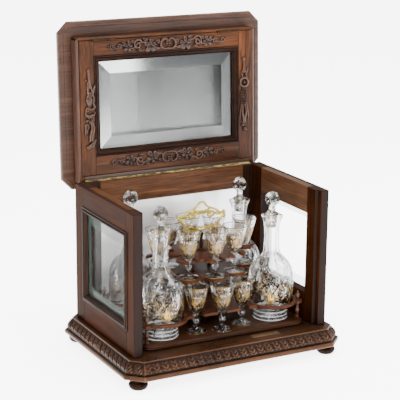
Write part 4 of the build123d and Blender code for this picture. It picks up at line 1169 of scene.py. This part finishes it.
def make_handle():
    lo, hi = span("handle_stem")
    soup = Soup()
    height = hi[2] - lo[2]
    profile = [(0.05, 0), (9, 0), (9, 0.7), (8.2, 1.3), (6.4, 1.9), (4, 2.6), (2.8, 4.4), (2.8, 8), (3.8, 9),
               (4, 10), (3.2, 11), (2.6, 13)]
    profile += raised([(2.5, -9), (3.4, -7), (2.6, -5.6), (4.6, -3.2), (4.8, -2), (4.2, -0.6), (0.05, 0)], height)
    lathe(soup, profile, (0, TRAY_Y, lo[2]), 32)
    finish("grip_stem", soup, [dark_brass], "tray", "gilt_brass", ["handle_stem"], 40)

    lo, hi = span("handle")
    soup = Soup()
    half = hi[0] - 1.5
    top = hi[2] - lo[2] - 1.4

    def place(x, z, y):
        return (x, TRAY_Y + y, lo[2] + z)
    routes = [
        [(0, 1.8), (6, 3), (12, 1.6), (17, 3.4), (22, 4.2), (27, 3.6), (30.5, 6), (29.5, 10), (31, 14), (35, 18),
         (38.5, 22), (half, 26.5), (half - 1.5, 30.5), (37, 28), (31, 29.5), (26, 34), (21, 36), (15, 38), (9.5, 41.5),
         (4, top - 0.6), (0, top + 0.2)],
        [(37, 27), (29, 26), (24, 29), (19, 31.4), (14.5, 31.8), (9, 31), (4, 30.4), (0, 30.2)],
        [(24, 29), (21, 25), (15, 23.6), (11.4, 26), (13.4, 29), (17, 27.6)],
        [(0, 7), (5, 8), (9, 5), (14, 6.5), (19, 10), (24, 8)],
        [(15, 38), (11.5, 35), (6, 33.6), (0, 33.4)],
    ]
    for route, side in product(routes, SIDES):
        stroke(soup, place, [(side * x, z, 0) for x, z in route], (1.5, 2, 1.5), 10, 5)
    beads = ((0, 3, 2), (half - 1, 31, 1.4), (29, 20, 1.2), (22, 28, 1.2), (0, top - 0.5, 1.5))
    for (x, z, r), side in product(beads, SIDES):
        profile = [(r * cos(t), r * sin(t)) for t in (-1.2, -0.8, -0.4, 0, 0.4, 0.8, 1.2)]
        lathe(soup, [(0.05, -r)] + profile + [(0.05, r)], place(side * x, z, 0), 12)
    finish("grip_scrolls", soup, [gilt], "tray", "gilt_brass", ["handle"], 60)


# Crystal. A shape's slots are 0 for its glass, 1 for gilding and, on a goblet, 2 for its foot and stem.

def radius_at(profile, z):
    """The outside radius of a turned shape at a height."""
    for (r0, z0), (r1, z1) in zip(profile, profile[1:]):
        if z0 <= z <= z1 and z1 > z0:
            return r0 + (r1 - r0) * (z - z0) / (z1 - z0)
    return profile[-1][0]


def wrapped(profile, reference):
    """Places on a turned surface: u runs round it, v is the height."""
    def place(u, v, lift):
        r = radius_at(profile, v) + 0.08 + lift
        return (r * cos(u / reference), r * sin(u / reference), v)
    return place


def gold_ring(soup, radius, z, width):
    rows = [hoop(radius + out, z + rise, 48)
            for out, rise in ((0.02, 0), (0.12, width * 0.2), (0.12, width * 0.8), (0.02, width))]
    grid(soup, rows, True, 1)


def gold_leaf(soup, place, base, heading, length, width, lift, bend, rows):
    leaf(soup, place, base, heading, length, width, lift, bend, 0, 1, rows, 0)


def spray(soup, place, u, lift, rows, fronds):
    """Gilt leaves from one stem, each (up or down, turn, length, width, height, bend). A turned one is paired."""
    for up, turn, length, width, v, bend in fronds:
        for side in (1, -1) if turn else (1,):
            gold_leaf(soup, place, (u, v), up * pi / 2 - side * turn, length, width, lift, side * bend, rows)


def spaced(wrap, count):
    """Even places round a turned surface."""
    return [TAU * wrap * k / count for k in range(count)]


def flutes(angle, count, depth):
    return 1 - depth * (1 - abs(cos(count * angle)))


def goblet_mesh():
    """A stemmed liqueur glass with a fluted lower bowl, a knopped stem and gilt sprays."""
    lo, hi = span("goblet_low_front_middle")
    height, rim = hi[2] - lo[2], (hi[0] - lo[0]) / 2
    bowl, fluted, wall, sprays, wrap, sides = 28, 45, 1.6, 5, 17, 60
    outside = smooth_line([(4.2, bowl), (7.2, bowl + 4), (10.2, bowl + 10), (12.8, bowl + 18), (14.8, bowl + 26),
                           (16.7, height - 13), (18.6, height - 5), (rim, height)], 4)
    stand = [(0.05, 0), (15.8, 0), (16.4, 0.4), (16.3, 1.1), (12, 2), (8, 3.1), (5.2, 4.6), (3.6, 7), (3, 10),
             (2.8, 12.5), (3.1, 13.6), (4.8, 15.6), (5.2, 18), (4.8, 20.4), (3.1, 22.2), (2.9, 24.4), (3.6, 26.4)]
    inside = [(0.05, bowl + 4)] + [(max(0.05, r - wall), z) for r, z in outside if z > bowl + 3.5]
    lip = [(rim - 0.25, height), (rim - wall + 0.3, height)]

    def cut(angle, z):
        if bowl - 0.5 < z < fluted:
            return flutes(angle, 5, 0.055 * min(1, (fluted - z) / 5))
        if 11 < z < 25:
            return flutes(angle, 3, 0.1)
        return flutes(angle, 5, 0.012) if z < 8 else 1
    soup = Soup()
    lathe(soup, stand + outside + lip + inside[::-1], sides=sides, cut=cut)
    stand_faces = sides * (len(stand) + 2)
    soup.slots[:stand_faces] = [2] * stand_faces
    place = wrapped(outside, wrap)
    for u in spaced(wrap, sprays):
        spray(soup, place, u, 0.22, 6, [
            (1, 0, 14, 1.5, 47, 0), (1, 0.7, 10.5, 1.2, 47, 0.6), (1, 1.2, 8, 1.1, 46, 0.6),
            (-1, 0, 8, 1.2, 46, 0), (-1, -0.8, 6.5, 1, 46, -0.4)])
        for side, j in product(SIDES, range(4)):
            gold_leaf(soup, place, (u + side * (6.2 + 0.9 * j), 47.5 + j * 4.4),
                      pi / 2 + side * (0.9 - 0.5 * (j % 2)), 4.4, 0.9, 0.15, side * 0.5, 5)
        for at in ((u + TAU * wrap / sprays / 2, 62.5), (u, 43.6)):
            dome(soup, place, at, 0.7, 0.25, 1, 8, 3)
    for below, width in ((1.2, 1.2), (4, 0.5)):
        gold_ring(soup, radius_at(outside, height - below), height - below, width)
    gold_ring(soup, 16.3, 0.5, 0.5)
    return soup


def decanter_mesh():
    """A broad decanter with a heavy foot, a fluted shoulder and neck, and gilt foliage."""
    lo, hi = span("decanter_front_left")
    top, wide = hi[2] - lo[2], (hi[0] - lo[0]) / 2
    sprays, wrap, neck_wrap, sides = 5, 35, 15, 96
    belly, shoulder, collar = 74, 96, 150
    outside = smooth_line([(27.6, 3), (27.8, 10), (27.6, 16), (30, 22), (33, 31), (35.3, 43), (wide - 0.08, 55),
                           (35.6, 66), (34.8, 77), (32.2, 86), (27, 94), (20.6, 100), (15.8, 105), (13.4, 112),
                           (12.3, 125), (12.2, 140), (12.5, 151), (13.4, 158), (15.2, 163.5), (16.8, 167.2)], 4)
    lip = [(17, 168.4), (16.6, 169.6), (15.8, top), (9.6, top), (8.7, top - 0.8)]
    inside = smooth_line([(8.6, top - 4), (8.6, 150), (8.8, 130), (9.2, 114), (10.8, 108), (14.6, 102.5), (22, 91),
                          (27.6, 84.5), (30.4, 77), (32.4, 67), (32.7, 55), (31.8, 42), (29.6, 29), (26.8, 18),
                          (22, 13), (12, 11.4), (0.05, 12.2)], 3)
    foot = [(0.05, 1.2), (18, 0.4), (25, 0), (27.6, 0.2), (28.4, 1.2)]

    def cut(angle, z):
        if shoulder < z < collar:
            return flutes(angle, 4, 0.075 * min(1, (z - shoulder) / 8, (collar - z) / 8))
        if belly < z <= shoulder:
            return flutes(angle, 8, 0.035 * min(1, (z - belly) / 8))
        return flutes(angle, 12, 0.012) if 1 < z < 20 else 1
    soup = Soup()
    lathe(soup, foot + outside + lip, sides=sides, cut=cut)
    # The lip stays open, and the inside starts there
    soup.faces.pop()
    soup.slots.pop()
    rows = [hoop(r, z, sides) for r, z in lip[-1:] + inside]
    grid(soup, rows, True)
    cap(soup, rows[-1])
    place = wrapped(outside, wrap)
    for u in spaced(wrap, sprays):
        spray(soup, place, u, 0.3, 8, [
            (1, 0, 22, 2.8, 34, 0.2), (1, 0.6, 18, 2.4, 33, 0.7), (1, 1.2, 13, 2, 32, 0.7),
            (-1, -0.7, 10, 1.9, 32, -0.5)])
        for side in SIDES:
            stem = [(u + side * (3 + 13 * t), 34 + 30 * t - 10 * t * t, 0.12) for t in [j / 8 for j in range(9)]]
            tube(soup, stem, 0.3, 5, place, 1)
            for j in range(3):
                gold_leaf(soup, place, (u + side * (9 + 3.2 * j), 46 + 7 * j),
                          pi / 2 + side * (1 - 0.6 * j), 6.5, 1.5, 0.2, side * 0.4, 6)
        dome(soup, place, (u, 61.5), 0.9, 0.3, 1, 8, 3)
        dome(soup, place, (u + TAU * wrap / sprays / 2, 27), 1, 0.3, 1, 8, 3)
    neck = wrapped(outside, neck_wrap)
    for u in spaced(neck_wrap, 8):
        for v, up, length in ((104, 1, 9), (103, -1, 7)):
            gold_leaf(soup, neck, (u, v), up * pi / 2, length, 1.6, 0.2, 0, 6)
    gold_ring(soup, 16.9, 167.6, 1)
    return soup


def stopper_mesh():
    """A stopper with a shank, a collar and a cut ball."""
    lo, hi = span("stopper_front_left")
    ball_r, shank, steps = (hi[0] - lo[0]) / 2, 20, 12
    ball = hi[2] - lo[2] - ball_r
    profile = [(0.05, 0), (6.6, 0), (7.2, 0.6)] + raised([
        (8.2, -0.2), (8.3, 0.2), (10.6, 0.3), (10.8, 1.2), (9.8, 3), (6.4, 4.4), (5, 7), (5.1, 12)], shank)
    start = math.asin(5.4 / ball_r)
    for angle in [start + (pi - start) * k / steps for k in range(steps + 1)]:
        profile.append((max(0.05, ball_r * sin(angle)), ball - ball_r * cos(angle)))
    soup = Soup()
    lathe(soup, profile, sides=20)
    gold_ring(soup, 10.7, shank + 0.4, 0.8)
    return soup


def make_crystal():
    """One mesh for each kind, turned by a random angle at each of its places."""
    kinds = {
        "goblet": (mesh_of("goblet", goblet_mesh(), [goblet_glass, gilding, foot_glass], 40), "gilded_crystal"),
        "decanter": (mesh_of("decanter", decanter_mesh(), [decanter_glass, gilding], 40), "crystal"),
        "stopper": (mesh_of("stopper", stopper_mesh(), [facets, gilding], flat=True), "crystal")}
    for node in sorted(frame["nodes"]):
        kind = node.split("_")[0]
        if kind in kinds:
            mesh, slot = kinds[kind]
            lo, hi = span(node)
            at = ((lo[0] + hi[0]) / 2, (lo[1] + hi[1]) / 2, lo[2])
            ride(f"cut_{node}", mesh, node, slot, [node], at, random.uniform(0, TAU))


# CAD pieces that keep their shape

KEPT = {
    "base_board": deep["x"], "ring_plate": tray_wood, "foot_shelf": tray_wood, "top_plate": tray_wood,
    "back_mirror": silver, "lid_mirror": grey_silver, "back_hinge_leaf": strip_brass, "lid_hinge_leaf": strip_brass,
    "lid_hinge_pin": knuckles, "door_hinge_lid_leaves": dark_brass, "door_hinge_leaves": dark_brass,
    "door_hinge_pins": dark_brass, "lid_catch": aged_brass, "door_catch_plate": aged_brass,
}


def dress_kept():
    for name, material in KEPT.items():
        node = frame["nodes"][name]
        node.data.materials.clear()
        node.data.materials.append(material)


for make in (make_camera, make_floor, make_world, make_lights, make_base, make_strike, make_feet, make_sides,
             make_back, make_lid, make_door, make_carvings, make_tray, make_handle, make_crystal, dress_kept):
    make()

bpy.context.view_layer.update()
